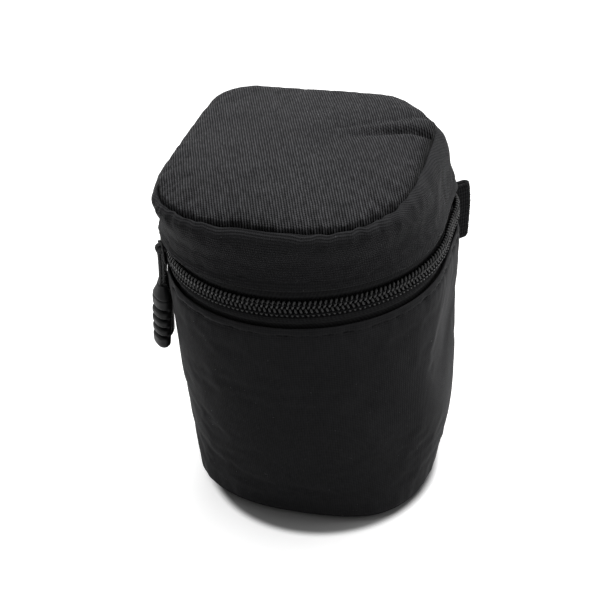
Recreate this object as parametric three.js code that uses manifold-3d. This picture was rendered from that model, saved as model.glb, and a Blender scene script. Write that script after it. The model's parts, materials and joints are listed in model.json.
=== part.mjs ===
// A soft padded pouch for a small camera: a tall body with a round front and a flat back, and a
// padded lid that a zip joins to it and a strip of fabric hinges at the back. Millimetres, +Z up.
// The origin is on the floor, on the axis of the half-round front. The front faces -Y.
import * as THREE from "three";
import { mergeVertices } from "three/addons/utils/BufferGeometryUtils.js";
import Module from "manifold-3d";

const wasm = await Module();
wasm.setup();

// The outline at the zip: a half-round front, straight sides, round back corners and a flat back.
const zipRadius = 55;
const zipBack = 44;
const zipCorner = 24;
const zipHeight = 108;
const tapeSteps = 48; // pieces that a tape is stepped in

// The outline at the bottom seam. A power of 2 is a round front, and more is a squarer one.
const baseHalfWidth = 48.7;
const baseFront = 43.1;
const baseBack = 37.6;
const baseCorner = 20;
const basePower = 2.5;
const baseLift = 3; // the bottom seam's height above the floor
const restInset = 8; // where the underside turns flat, from the seam inwards

// The outline at the lid's rim.
const rimHalfWidth = 44.7;
const rimFront = 54.4;
const rimBack = 43.6;
const rimCorner = 18;
const rimPower = 3.2;
const rimHeight = 142;
const rimTilt = 0.038; // rise per millimetre towards the back
const rimDip = 1.3; // the top panel's sewn edge, below the rim
const rimRoll = 2; // how far the padding rolls the band out below the rim
const rollTop = 2.4; // the roll's crest, below the rim
const rollBottom = 5;
const rollFoot = 14;
const topSwell = 5; // the padded top panel's rounded edge, above its sewn edge
const swellRun = 10; // how far in from the sewn edge that takes
const crown = 1.8; // the top panel's middle, above that
const crownRun = 20; // how far in from there the top keeps rising
const rimSquareness = 1.2; // how far the rim's front corners stand outside the band below them

// Where use has pushed a back corner of the rim in, or the bottom seam out: a place seen from
// above, how far round it the push fades out, and the push.
const rimDents = [{ at: [42, 41], reach: 15, push: [-4.6, -4.6] }];
const baseDents = [{ at: [39, -34], reach: 15, push: [2.2, -2.2] }];

// The layers of a padded wall, from the outside in.
const fabric = 1;
const foam = 4.8;
const lining = 0.8;
const baseFoam = 5.3;
const gap = 0.3; // between one layer and the next
const seamGap = 0.3; // between two panels at a corner seam
const seamAngle = 45; // degrees round each back corner, from the side

// The zip: two sewn coils on woven tapes, and the room that its sliders need.
const coilHalf = 3.5; // from the zip's centre line to a coil's far edge
const coilInset = 1;
const coilDepth = 2.2;
const toothPitch = 1.85;
const toothReach = 0.4; // how far a tooth passes the centre line
const toothClear = 0.4; // between a tooth's tip and the root it points at
const tape = 0.6;
const tapeEdge = 1; // from the centre line to a tape's near edge
const tapeReach = 15; // from the centre line to a tape's far edge
const zipEndAngle = 38; // degrees round each back corner where the zip ends
const hemBelow = 6.4; // the body fabric's folded edge, below the centre line
const hemAbove = 5.6; // the lid fabric's folded edge, above the centre line
const hemTurn = 6; // depth of the turned-in leaf of a folded edge
const hemOverhang = 0.8; // how far the lid's folded edge stands over the zip
const sliderRoom = 6.5; // padding and lining stop this far from the centre line

// The two sliders, which meet on the left, and their pulls.
const sliderLength = 12.2;
const sliderHalf = 5.3;
const sliderRounding = 4; // how long the plates' corners take to turn
const sliderRail = 0.6;
const plate = 0.7;
const plateClear = 0.25;
const dividerLength = 2.4;
const dividerHalf = 0.3;
const partedBy = 0.9; // each coil, between the two sliders
const eye = 1.6; // the gap under a slider's bridge
const bridgeBar = 1;
const bridgeLength = 9;
const frontSliderAngle = 24.4; // degrees round the front from the left side
const rearSliderAngle = 9.4;

const cordThickness = 1.1;
const cordSides = 6;
const cordSteps = 44;
const cordClear = 0.1; // round the bridge bar's edges
const cordSpacing = 1.4; // between the loop's two legs at the grip
const cordClosing = 8.5; // how far below the bar the legs have drawn together
const cordShown = 17; // from the bridge bar down to the grip
const cordInGrip = 4.7;
const gripWidth = 9.5;
const gripThickness = 5.8;
const gripLength = 29;
const gripNeck = 5.4; // width at the top
const gripShoulder = 3.4; // length of the taper below the neck
const gripCap = 3; // length of the rounded end
const grooveCount = 4;
const groovePitch = 3.9;
const grooveDepth = 0.6;
const pullLean = 1.5; // degrees that the stiff cord holds the grip away from the wall

// The webbing tabs at the back corners, where the zip ends.
const webbing = 1.6;
const tabHeight = 24.4;
const tabLength = 9;
const tabFold = 1.2; // the space inside the fold
const tabTop = zipHeight - gap;

// The inside binding tape that covers the seam allowances.
const bindingWidth = 1.2;
const bindingHeight = 1.6;

// How finely the outline is stepped.
const frontSteps = 12; // in each quarter of the front
const backSteps = 2; // in each half of the flat back
const leastCorner = 1;

const degree = Math.PI / 180;
const foamInset = fabric + gap;
const liningInset = foamInset + foam + gap;
const cavityInset = liningInset + lining;
const tapeInset = coilInset + coilDepth + gap;
const behindTape = tapeInset + tape + gap;
const seamHalfAngle = (seamGap / 2 / zipCorner) / degree;

const nylon = new THREE.MeshStandardMaterial({ color: 0x2c2c2f, roughness: 0.85, metalness: 0 });
const padding = new THREE.MeshStandardMaterial({ color: 0x3c3c3f, roughness: 0.95, metalness: 0 });
const liningCloth = new THREE.MeshStandardMaterial({ color: 0x1f1f22, roughness: 0.8, metalness: 0 });
const wovenTape = new THREE.MeshStandardMaterial({ color: 0x202023, roughness: 0.9, metalness: 0 });
const coilPlastic = new THREE.MeshStandardMaterial({ color: 0x17171a, roughness: 0.4, metalness: 0 });
const blackMetal = new THREE.MeshStandardMaterial({ color: 0x1a1a1c, roughness: 0.35, metalness: 0.7 });
const cordNylon = new THREE.MeshStandardMaterial({ color: 0x1c1c1e, roughness: 0.8, metalness: 0 });
const gripRubber = new THREE.MeshStandardMaterial({ color: 0x18181a, roughness: 0.55, metalness: 0 });

const baseOutline = {
  halfWidth: baseHalfWidth,
  front: baseFront,
  back: baseBack,
  corner: baseCorner,
  power: basePower,
  dents: baseDents,
};
const zipOutline = {
  halfWidth: zipRadius,
  front: zipRadius,
  back: zipBack,
  corner: zipCorner,
  power: 2,
  dents: [],
};
const rimOutline = {
  halfWidth: rimHalfWidth,
  front: rimFront,
  back: rimBack,
  corner: rimCorner,
  power: rimPower,
  dents: rimDents,
};

// A place on an outline is a stretch, how far along it, and which side: 1 is left and -1 right.
function pointAt(outline, inset, place) {
  const { stretch, along, side } = place;
  const halfWidth = outline.halfWidth - inset;
  const front = outline.front - inset;
  const back = outline.back - inset;
  const corner = Math.max(outline.corner - inset, leastCorner);
  let x = halfWidth;
  let y = 0;
  if (stretch === "front") {
    const angle = along * degree;
    x = halfWidth * Math.max(Math.sin(angle), 0) ** (2 / outline.power);
    y = -front * Math.max(Math.cos(angle), 0) ** (2 / outline.power);
  } else if (stretch === "side") {
    y = (back - corner) * along;
  } else if (stretch === "corner") {
    x = halfWidth - corner + corner * Math.cos(along * degree);
    y = back - corner + corner * Math.sin(along * degree);
  } else {
    x = (halfWidth - corner) * (1 - along);
    y = back;
  }
  return dented([-side * x, y], outline.dents);
}

function dented([x, y], dents) {
  const moved = [x, y];
  for (const { at, reach, push } of dents) {
    const share = Math.exp(-((x - at[0]) ** 2 + (y - at[1]) ** 2) / reach ** 2);
    moved[0] += push[0] * share;
    moved[1] += push[1] * share;
  }
  return moved;
}

// A wall function gives the corner at a height, an inset and a place. The walls are upright
// where the sliders run and slope beyond that, and the lid rises a little towards the back.
function bodyWall(height, inset, place) {
  const share = (height - baseLift) / (zipHeight - sliderRoom - baseLift);
  return [...between(baseOutline, zipOutline, share, inset, place), height];
}

function lidShare(height) {
  const foot = zipHeight + sliderRoom;
  return Math.min(Math.max((height - foot) / (rimHeight - foot), 0), 1);
}

function lidWall(height, inset, place) {
  const [x, y] = between(zipOutline, rimOutline, lidShare(height), inset, place);
  return [x, y, height + rimTilt * lidShare(height) * y];
}

function lidTop(height, inset, place) {
  const [x, y] = pointAt(rimOutline, inset, place);
  return [x, y, height + rimTilt * lidShare(height) * y];
}

function between(low, high, share, inset, place) {
  const part = Math.min(Math.max(share, 0), 1);
  const [lowX, lowY] = pointAt(low, inset, place);
  const [highX, highY] = pointAt(high, inset, place);
  return [lowX + (highX - lowX) * part, lowY + (highY - lowY) * part];
}

// The stations of half an outline, from the middle of the front to the middle of the back.
const seamStations = [seamAngle - seamHalfAngle, seamAngle + seamHalfAngle];
const cornerStations = [0, 10, 20, 30, zipEndAngle, ...seamStations, 60, 75, 90];

function halfPlaces(side) {
  const places = [];
  for (let i = 0; i <= frontSteps; i += 1) {
    places.push({ stretch: "front", along: (90 * i) / frontSteps, side });
  }
  places.push({ stretch: "side", along: 0.5, side });
  for (const along of cornerStations) {
    places.push({ stretch: "corner", along, side });
  }
  for (let i = 1; i <= backSteps; i += 1) {
    places.push({ stretch: "back", along: i / backSteps, side });
  }
  return places;
}

const leftHalf = halfPlaces(1);
const rightHalf = halfPlaces(-1).slice(1, -1).reverse();
const allRound = [...leftHalf, ...rightHalf];

function isBackOfSeam(place) {
  return place.stretch === "back" || (place.stretch === "corner" && place.along > seamAngle);
}

const leftFrontHalf = leftHalf.filter((place) => !isBackOfSeam(place));
const rightFrontHalf = rightHalf.filter((place) => !isBackOfSeam(place));
const roundFront = [...rightFrontHalf, ...leftFrontHalf];
const acrossBack = allRound.filter(isBackOfSeam);

// A closed geometry from rings of corners: each ring joins the next, and the ends are joined to
// each other, filled with the given triangles, or fanned from their middles. A twisted quad is
// split along its shorter diagonal, so that neighbouring layers stay parallel.
function skin(rings, ends) {
  const size = rings[0].length;
  const positions = rings.flat(2);
  const apart = (i, j) => cornerOf(positions, i).distanceTo(cornerOf(positions, j));
  const faces = [];
  const last = ends === "joined" ? rings.length : rings.length - 1;
  for (let i = 0; i < last; i += 1) {
    for (let j = 0; j < size; j += 1) {
      const a = i * size + j;
      const b = i * size + ((j + 1) % size);
      const c = ((i + 1) % rings.length) * size + ((j + 1) % size);
      const d = ((i + 1) % rings.length) * size + j;
      if (apart(a, c) <= apart(b, d)) {
        faces.push([a, b, c], [a, c, d]);
      } else {
        faces.push([a, b, d], [b, c, d]);
      }
    }
  }
  const endOffset = (rings.length - 1) * size;
  if (Array.isArray(ends)) {
    for (const [a, b, c] of ends) {
      faces.push([c, b, a], [a + endOffset, b + endOffset, c + endOffset]);
    }
  } else if (ends === "fanned") {
    for (const [offset, turned] of [[0, true], [endOffset, false]]) {
      const ring = rings[offset / size];
      const middle = [0, 1, 2].map((k) => ring.reduce((sum, p) => sum + p[k], 0) / size);
      const centre = positions.length / 3;
      positions.push(...middle);
      for (let j = 0; j < size; j += 1) {
        const a = offset + j;
        const b = offset + ((j + 1) % size);
        faces.push(turned ? [b, a, centre] : [a, b, centre]);
      }
    }
  }
  const geometry = new THREE.BufferGeometry();
  geometry.setAttribute("position", new THREE.Float32BufferAttribute(positions, 3));
  geometry.setIndex(facingOut(positions, faces).flat());
  return geometry;
}

function cornerOf(positions, i) {
  return new THREE.Vector3().fromArray(positions, 3 * i);
}

function facingOut(positions, faces) {
  let volume = 0;
  for (const triangle of faces) {
    const [a, b, c] = triangle.map((i) => cornerOf(positions, i));
    volume += a.dot(b.cross(c));
  }
  return volume > 0 ? faces : faces.map(([a, b, c]) => [a, c, b]);
}

// A profile is a list of [inset, height] corners, swept through places.
function sweep(wall, profile, places) {
  const rings = places.map((place) => sectionRing(wall, profile, place));
  return skin(rings, places === allRound ? "joined" : endFaces(profile));
}

// The triangles that fill a profile, turning the same way as the profile does.
function endFaces(profile) {
  const contour = profile.map(([inset, height]) => new THREE.Vector2(inset, height));
  const turn = Math.sign(THREE.ShapeUtils.area(contour));
  return THREE.ShapeUtils.triangulateShape(contour, []).map(([a, b, c]) => {
    const area = THREE.ShapeUtils.area([contour[a], contour[b], contour[c]]);
    return Math.sign(area) === turn ? [a, b, c] : [a, c, b];
  });
}

function sectionRing(wall, profile, place) {
  return profile.map(([inset, height]) => wall(height, inset, place));
}

// A plate across the whole outline. Its profile runs from under the middle, out and back over it.
function disc(wall, profile) {
  const rings = profile.map(([inset, height]) =>
    allRound.map((place) => wall(height, inset, place)),
  );
  return skin(rings, "fanned");
}

function rectangle(inset, thickness, low, high) {
  return [
    [inset, low],
    [inset + thickness, low],
    [inset + thickness, high],
    [inset, high],
  ];
}

// A wall of padding that is cut back on its outer face where the zip's tape lies.
function paddingProfile(edge, far, inwards) {
  const step = edge + inwards * (tapeReach + gap - sliderRoom);
  const profile = [
    [foamInset, far],
    [foamInset, step],
    [behindTape, step],
    [behindTape, edge],
    [foamInset + foam, edge],
    [foamInset + foam, far],
  ];
  return inwards > 0 ? profile : profile.reverse();
}

// Booleans work on closed meshes whose shared corners are merged.
function solidFrom(geometry) {
  const bare = geometry.clone();
  bare.deleteAttribute("normal");
  bare.deleteAttribute("uv");
  const merged = mergeVertices(bare, 1e-4);
  const mesh = new wasm.Mesh({
    numProp: 3,
    vertProperties: merged.attributes.position.array,
    triVerts: new Uint32Array(merged.index.array),
  });
  return new wasm.Manifold(mesh);
}

function geometryFrom(solid) {
  const { vertProperties, triVerts } = solid.getMesh();
  const geometry = new THREE.BufferGeometry();
  geometry.setAttribute("position", new THREE.BufferAttribute(vertProperties, 3));
  geometry.setIndex(new THREE.BufferAttribute(triVerts, 1));
  return geometry;
}

function box(x, y, z) {
  const geometry = new THREE.BoxGeometry(x[1] - x[0], y[1] - y[0], z[1] - z[0]);
  return geometry.translate((x[0] + x[1]) / 2, (y[0] + y[1]) / 2, (z[0] + z[1]) / 2);
}

const bag = new THREE.Group();

function add(name, geometry, material, parent = bag) {
  const mesh = new THREE.Mesh(geometry, material);
  mesh.name = name;
  parent.add(mesh);
  return mesh;
}

// The body's outer fabric: one panel round the front and sides with a folded edge at the zip, a
// back panel between the corner seams, and a base panel that bulges down to its rest face.
const bodyEdge = zipHeight - hemBelow;

function foldedEdgeProfile() {
  const leaf = foamInset;
  return [
    [0, baseLift],
    [fabric, baseLift],
    [fabric, bodyEdge - fabric],
    [leaf, bodyEdge - fabric],
    [leaf, bodyEdge - hemTurn],
    [leaf + fabric, bodyEdge - hemTurn],
    [leaf + fabric, bodyEdge],
    [0, bodyEdge],
  ];
}

add("front_side_panel", sweep(bodyWall, foldedEdgeProfile(), roundFront), nylon);
const backProfile = rectangle(0, fabric, baseLift, bodyEdge);
add("back_panel", sweep(bodyWall, backProfile, acrossBack), nylon);

const basePanelTop = baseLift - gap;
const basePanelProfile = [
  [restInset, 0],
  [0, basePanelTop - fabric],
  [0, basePanelTop],
  [restInset, fabric],
];
add("base_panel", disc(bodyWall, basePanelProfile), nylon);

// The body's padding and lining.
const baseFoamTop = fabric + gap + baseFoam;
const wallFoot = baseFoamTop + gap;
const baseLiningTop = wallFoot + lining;
const liningFoot = baseLiningTop + gap;
const paddingTop = zipHeight - sliderRoom;

const baseFoamProfile = [
  [restInset, fabric + gap],
  [foamInset, baseLift],
  [foamInset, baseFoamTop],
  [restInset, baseFoamTop],
];
add("base_foam", disc(bodyWall, baseFoamProfile), padding);
add("side_foam", sweep(bodyWall, paddingProfile(paddingTop, wallFoot, -1), roundFront), padding);
const backFoamProfile = rectangle(foamInset, foam, wallFoot, paddingTop);
add("back_foam", sweep(bodyWall, backFoamProfile, acrossBack), padding);

const baseLiningProfile = [
  [restInset + bindingWidth, wallFoot],
  [liningInset, wallFoot],
  [liningInset, baseLiningTop],
  [restInset + bindingWidth, baseLiningTop],
];
add("base_lining", disc(bodyWall, baseLiningProfile), liningCloth);
const wallLiningProfile = rectangle(liningInset, lining, liningFoot, paddingTop);
add("side_lining", sweep(bodyWall, wallLiningProfile, roundFront), liningCloth);
add("back_lining", sweep(bodyWall, wallLiningProfile, acrossBack), liningCloth);
const baseBindingProfile = rectangle(
  cavityInset + gap,
  bindingWidth,
  liningFoot,
  liningFoot + bindingHeight,
);
add("base_binding", sweep(bodyWall, baseBindingProfile, allRound), wovenTape);

// The lid's side band, with a folded edge that stands a little over the zip and a soft roll
// under the rim, which the padding follows.
const lidEdge = zipHeight + hemAbove;
const lidFold = lidEdge + hemTurn;
const lidBandProfile = [
  [-hemOverhang, lidEdge],
  [foamInset + fabric - hemOverhang, lidEdge],
  [foamInset + fabric, lidFold],
  [foamInset, lidFold],
  [foamInset - hemOverhang, lidEdge + fabric],
  [fabric - hemOverhang, lidEdge + fabric],
  [fabric, lidFold],
  [fabric, rimHeight - rollFoot],
  [fabric - rimRoll, rimHeight - rollBottom],
  [fabric - rimRoll, rimHeight - rollTop - fabric / 2],
  [fabric, rimHeight - fabric],
  [fabric, rimHeight],
  [0, rimHeight],
  [-rimRoll * 0.6, rimHeight - rollTop * 0.3],
  [-rimRoll, rimHeight - rollTop],
  [-rimRoll, rimHeight - rollBottom],
  [0, rimHeight - rollFoot],
  [0, lidFold],
];
add("lid_side_band", sweep(lidWall, lidBandProfile, allRound), nylon);

// The lid's top: the panel is sewn in below the rim, swells up from there and rises to its crown.
const sewnHeight = rimHeight - rimDip;
const swellAngles = [0, 20, 45, 70, 90]; // degrees round the swell
const crownShares = [0.4, 1];

function topHeight(inset) {
  const swellShare = Math.min((inset - foamInset) / swellRun, 1);
  const crownShare = Math.min(Math.max((inset - foamInset - swellRun) / crownRun, 0), 1);
  const swell = topSwell * Math.sqrt(1 - (1 - swellShare) ** 2);
  return sewnHeight + swell + crown * (1 - (1 - crownShare) ** 2);
}

// A surface of the top at a depth below the panel's, as a profile from its sewn edge inwards.
function topSurface(depth) {
  const rounded = swellAngles.map((angle) => {
    const out = Math.cos(angle * degree) / swellRun;
    const up = Math.sin(angle * degree) / topSwell;
    const size = Math.hypot(out, up);
    return [
      foamInset + swellRun * (1 - Math.cos(angle * degree)) + (depth * out) / size,
      sewnHeight + topSwell * Math.sin(angle * degree) - (depth * up) / size,
    ];
  });
  const crowned = crownShares.map((share) => {
    const inset = foamInset + swellRun + crownRun * share;
    return [inset, topHeight(inset) - depth];
  });
  return [...rounded, ...crowned];
}

// A surface that lies under the padding, from a given inset inwards.
function underTop(edgeInset, depth) {
  const insets = [edgeInset, foamInset + swellRun];
  for (const share of crownShares) {
    insets.push(foamInset + swellRun + crownRun * share);
  }
  return insets.map((inset) => [inset, topHeight(inset) - depth]);
}

const topFoamDepth = fabric + gap;
const topLiningDepth = topFoamDepth + foam + gap;
const topFoamEdge = liningInset + rimSquareness;
const topLiningEdge = cavityInset + gap + rimSquareness;
const bandPaddingTop = sewnHeight - fabric - gap;
const lidBindingTop = topHeight(topLiningEdge) - topLiningDepth - lining - gap;
const lidPaddingFoot = zipHeight + sliderRoom;

const topPanelProfile = [
  ...topSurface(fabric).reverse(),
  [foamInset + fabric, sewnHeight - fabric],
  [foamInset, sewnHeight - fabric],
  ...topSurface(0),
];
add("lid_top_panel", disc(lidTop, topPanelProfile), nylon);
const topFoamProfile = [
  ...underTop(topFoamEdge, topFoamDepth + foam).reverse(),
  [topFoamEdge, bandPaddingTop + gap],
  [foamInset + topFoamDepth, bandPaddingTop + gap],
  ...topSurface(topFoamDepth),
];
add("lid_top_foam", disc(lidTop, topFoamProfile), padding);
const topLiningProfile = [
  ...underTop(topLiningEdge, topLiningDepth + lining).reverse(),
  ...underTop(topLiningEdge, topLiningDepth),
];
add("lid_top_lining", disc(lidTop, topLiningProfile), liningCloth);
const bandFoamProfile = [
  [foamInset, bandPaddingTop],
  [foamInset - rimRoll, rimHeight - rollTop - fabric - gap],
  [foamInset - rimRoll, rimHeight - rollBottom],
  [foamInset, rimHeight - rollFoot],
  ...paddingProfile(lidPaddingFoot, bandPaddingTop, 1).slice(1),
];
add("lid_band_foam", sweep(lidWall, bandFoamProfile, allRound), padding);
const bandLiningProfile = rectangle(liningInset, lining, lidPaddingFoot, bandPaddingTop);
add("lid_band_lining", sweep(lidWall, bandLiningProfile, allRound), liningCloth);
const lidBindingProfile = rectangle(
  cavityInset + gap,
  bindingWidth,
  lidBindingTop - bindingHeight,
  lidBindingTop,
);
add("lid_binding", sweep(lidWall, lidBindingProfile, allRound), wovenTape);

// The fabric hinge closes the gap between the back panel and the lid's side band.
const hingeProfile = rectangle(0, fabric, bodyEdge + gap, lidEdge - gap);
add("hinge_panel", sweep(lidWall, hingeProfile, acrossBack), nylon);

// Distance along the zip runs from the middle of the front, and is positive to the left.
const quarterRun = (zipRadius * Math.PI) / 2;
const sideRun = zipBack - zipCorner;
const zipHalfRun = quarterRun + sideRun + zipCorner * zipEndAngle * degree;

function zipPlace(distance) {
  const side = distance < 0 ? -1 : 1;
  const run = Math.abs(distance);
  if (run <= quarterRun) {
    return { stretch: "front", along: (90 * run) / quarterRun, side };
  }
  if (run <= quarterRun + sideRun) {
    return { stretch: "side", along: (run - quarterRun) / sideRun, side };
  }
  return { stretch: "corner", along: (run - quarterRun - sideRun) / zipCorner / degree, side };
}

// The coils part between the two sliders and close again inside them.
const frontSliderRun = zipRadius * (90 - frontSliderAngle) * degree;
const rearSliderRun = zipRadius * (90 - rearSliderAngle) * degree;
const partingMiddle = (frontSliderRun + rearSliderRun) / 2;
const partingHalf = (rearSliderRun - frontSliderRun) / 2;

function parting(distance) {
  const off = Math.abs(distance - partingMiddle);
  const closing = (off - partingHalf + sliderLength / 4) / (sliderLength / 2);
  return partedBy * (1 - THREE.MathUtils.smoothstep(closing, 0, 1));
}

// One coil, whose zigzag edge meshes with the other's. The upper has way 1 and the lower -1.
function coil(wall, way) {
  const steps = Math.floor((2 * zipHalfRun) / toothPitch) * 2;
  const rings = [];
  for (let i = 0; i <= steps; i += 1) {
    const distance = -zipHalfRun + (i * toothPitch) / 2;
    const atTip = (i % 2 === 0) === (way > 0);
    const near = way * (atTip ? -toothReach : toothReach + toothClear);
    const shift = zipHeight + way * parting(distance);
    const heights = [shift + near, shift + way * coilHalf].sort((a, b) => a - b);
    const profile = rectangle(coilInset, coilDepth, heights[0], heights[1]);
    rings.push(sectionRing(wall, profile, zipPlace(distance)));
  }
  return skin(rings, "fanned");
}

const tapeEnds = [[0, 1, 4], [0, 4, 5], [1, 2, 3], [1, 3, 4]];

function zipTape(wall, way) {
  const corners = [tapeEdge, sliderRoom, tapeReach].map((off) => zipHeight + way * off);
  const profile = [
    ...corners.map((height) => [tapeInset + tape, height]),
    ...corners.reverse().map((height) => [tapeInset, height]),
  ];
  const rings = [];
  for (let i = 0; i <= tapeSteps; i += 1) {
    const distance = zipHalfRun * ((2 * i) / tapeSteps - 1);
    rings.push(sectionRing(wall, profile, zipPlace(distance)));
  }
  return skin(rings, tapeEnds);
}

add("zip_coil_lower", coil(bodyWall, -1), coilPlastic);
add("zip_tape_lower", zipTape(bodyWall, -1), wovenTape);
add("zip_coil_upper", coil(lidWall, 1), coilPlastic);
add("zip_tape_upper", zipTape(lidWall, 1), wovenTape);

// A slider in its own frame: X is outwards from the zip's radius, Y is along the zip and Z is up.
// Its mouth, where the coils part, is at the end that mouth points to: 1 is +Y and -1 is -Y.
const outerPlateFoot = plateClear - coilInset;
const sliderSag = sliderLength ** 2 / 8 / zipRadius; // of the round zip inside the straight slider
const innerPlateTop = -(tapeInset + tape + gap + sliderSag);
const barFoot = outerPlateFoot + plate + eye;
const barMiddle = barFoot + bridgeBar / 2;

function plateGeometry(foot, thickness, mouth) {
  const end = sliderLength / 2;
  const flat = sliderHalf - sliderRounding / 2;
  const waist = sliderHalf - sliderRounding * 0.75;
  const shape = new THREE.Shape();
  shape.moveTo(-end + sliderRounding, -sliderHalf);
  shape.lineTo(end - sliderRounding, -sliderHalf);
  shape.quadraticCurveTo(end, -sliderHalf, end, -flat);
  shape.lineTo(end, flat);
  shape.quadraticCurveTo(end, sliderHalf, end - sliderRounding, sliderHalf);
  shape.lineTo(-end + sliderRounding, sliderHalf);
  shape.quadraticCurveTo(-end, sliderHalf, -end, waist);
  shape.lineTo(-end, -waist);
  shape.quadraticCurveTo(-end, -sliderHalf, -end + sliderRounding, -sliderHalf);
  const geometry = new THREE.ExtrudeGeometry(shape, {
    depth: thickness,
    bevelEnabled: false,
    curveSegments: 3,
  });
  geometry.applyMatrix4(
    new THREE.Matrix4().makeBasis(
      new THREE.Vector3(0, mouth, 0),
      new THREE.Vector3(0, 0, mouth),
      new THREE.Vector3(1, 0, 0),
    ),
  );
  return geometry.translate(foot, 0, 0);
}

function sliderGeometry(mouth) {
  const outerTop = outerPlateFoot + plate;
  const mouthEnd = mouth * (sliderLength / 2);
  const dividerEnds = [mouthEnd, mouthEnd - mouth * dividerLength].sort((a, b) => a - b);
  const railHalf = sliderLength / 2 - sliderRounding / 2;
  const railEnds = [-railHalf, railHalf];
  const railFoot = -(tapeInset - gap);
  const pieces = [
    plateGeometry(outerPlateFoot, plate, mouth),
    plateGeometry(innerPlateTop - plate, plate, mouth),
    box([innerPlateTop - plate / 2, outerTop - plate / 2], dividerEnds, [-dividerHalf, dividerHalf]),
  ];
  for (const way of [-1, 1]) {
    const rail = [way * sliderHalf, way * (sliderHalf - sliderRail)];
    rail.sort((a, b) => a - b);
    pieces.push(box([railFoot, outerPlateFoot + plate / 2], railEnds, rail));
    const postEnds = [way * (bridgeLength / 2), way * (bridgeLength / 2 - bridgeBar)];
    postEnds.sort((a, b) => a - b);
    const half = bridgeBar / 2;
    pieces.push(box([outerTop - plate / 2, barMiddle], postEnds, [-half, half]));
  }
  pieces.push(
    box(
      [barFoot, barFoot + bridgeBar],
      [-bridgeLength / 2, bridgeLength / 2],
      [-bridgeBar / 2, bridgeBar / 2],
    ),
  );
  let solid = solidFrom(pieces[0]);
  for (const piece of pieces.slice(1)) {
    solid = solid.add(solidFrom(piece));
  }
  return geometryFrom(solid);
}

// The cord is one loop over the bridge bar. The pull's frame has its origin on the bar's middle.
function pullCordGeometry() {
  const turn = bridgeBar / Math.SQRT2 + cordThickness / 2 + cordClear;
  const half = cordSpacing / 2;
  const down = [
    [turn, -turn / 2],
    [(turn + half) / 2, -(turn / 2 + cordClosing) / 2],
    [half, -cordClosing],
    [half, -(cordClosing + cordShown) / 2],
    [half, -(cordShown + cordInGrip)],
  ];
  const points = down.map(([x, z]) => new THREE.Vector3(x, 0, z)).reverse();
  for (let angle = 15; angle < 180; angle += 30) {
    const x = turn * Math.cos(angle * degree);
    const z = turn * Math.sin(angle * degree);
    points.push(new THREE.Vector3(x, 0, z));
  }
  points.push(...down.map(([x, z]) => new THREE.Vector3(-x, 0, z)));
  const section = new THREE.Shape();
  for (let i = 0; i < cordSides; i += 1) {
    const angle = (i / cordSides) * 2 * Math.PI;
    const at = [(cordThickness / 2) * Math.cos(angle), (cordThickness / 2) * Math.sin(angle)];
    if (i === 0) {
      section.moveTo(...at);
    } else {
      section.lineTo(...at);
    }
  }
  section.closePath();
  return new THREE.ExtrudeGeometry(section, {
    steps: cordSteps,
    extrudePath: new THREE.CatmullRomCurve3(points, false, "centripetal"),
    bevelEnabled: false,
  });
}

// The moulded grip: an oval bar with a rounded end, grooves across it and a tapered neck.
function gripGeometry() {
  const half = gripWidth / 2;
  const outline = [new THREE.Vector2(0, -gripLength)];
  const capSteps = 4;
  for (let i = 1; i <= capSteps; i += 1) {
    const angle = (i / capSteps) * (Math.PI / 2);
    const height = -gripLength + gripCap * (1 - Math.cos(angle));
    outline.push(new THREE.Vector2(half * Math.sin(angle), height));
  }
  const firstGroove = -gripLength + gripCap + groovePitch / 2;
  for (let i = 0; i < grooveCount; i += 1) {
    const middle = firstGroove + i * groovePitch;
    outline.push(new THREE.Vector2(half, middle - groovePitch / 4));
    outline.push(new THREE.Vector2(half - grooveDepth, middle));
    outline.push(new THREE.Vector2(half, middle + groovePitch / 4));
  }
  outline.push(new THREE.Vector2(half, -gripShoulder));
  outline.push(new THREE.Vector2(gripNeck / 2, 0));
  outline.push(new THREE.Vector2(0, 0));
  const bar = new THREE.LatheGeometry(outline, 12);
  bar.rotateX(Math.PI / 2);
  bar.scale(gripThickness / gripWidth, 1, 1);
  const room = cordThickness / 2 + gap;
  const slot = box(
    [-cordSpacing / 2 - room, cordSpacing / 2 + room],
    [-room, room],
    [-(cordInGrip + gap), 1],
  );
  const geometry = geometryFrom(solidFrom(bar).subtract(solidFrom(slot)));
  return geometry.translate(0, 0, -cordShown);
}

function addSlider(prefix, angle, mouth) {
  const slider = new THREE.Group();
  const turn = angle * degree;
  slider.position.set(-zipRadius * Math.cos(turn), -zipRadius * Math.sin(turn), zipHeight);
  slider.rotation.z = Math.PI + turn;
  bag.add(slider);
  add(prefix + "_slider", sliderGeometry(mouth), blackMetal, slider);
  const pull = new THREE.Group();
  pull.position.x = barMiddle;
  pull.rotation.y = -pullLean * degree;
  slider.add(pull);
  add(prefix + "_pull_cord", pullCordGeometry(), cordNylon, pull);
  add(prefix + "_pull_grip", gripGeometry(), gripRubber, pull);
}

addSlider("front", frontSliderAngle, -1);
addSlider("rear", rearSliderAngle, 1);

// A tab of webbing folded once, standing out from a corner seam. Its root follows the wall.
function foldedWebbing() {
  const outer = webbing + tabFold / 2;
  const inner = tabFold / 2;
  const shape = new THREE.Shape();
  shape.moveTo(0, -outer);
  shape.lineTo(tabLength - outer, -outer);
  shape.absarc(tabLength - outer, 0, outer, -Math.PI / 2, Math.PI / 2, false);
  shape.lineTo(0, outer);
  shape.lineTo(0, inner);
  shape.lineTo(tabLength - outer, inner);
  shape.absarc(tabLength - outer, 0, inner, Math.PI / 2, -Math.PI / 2, true);
  shape.lineTo(0, -inner);
  return shape.getPoints(6).map((point) => [point.x, point.y]);
}

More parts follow.
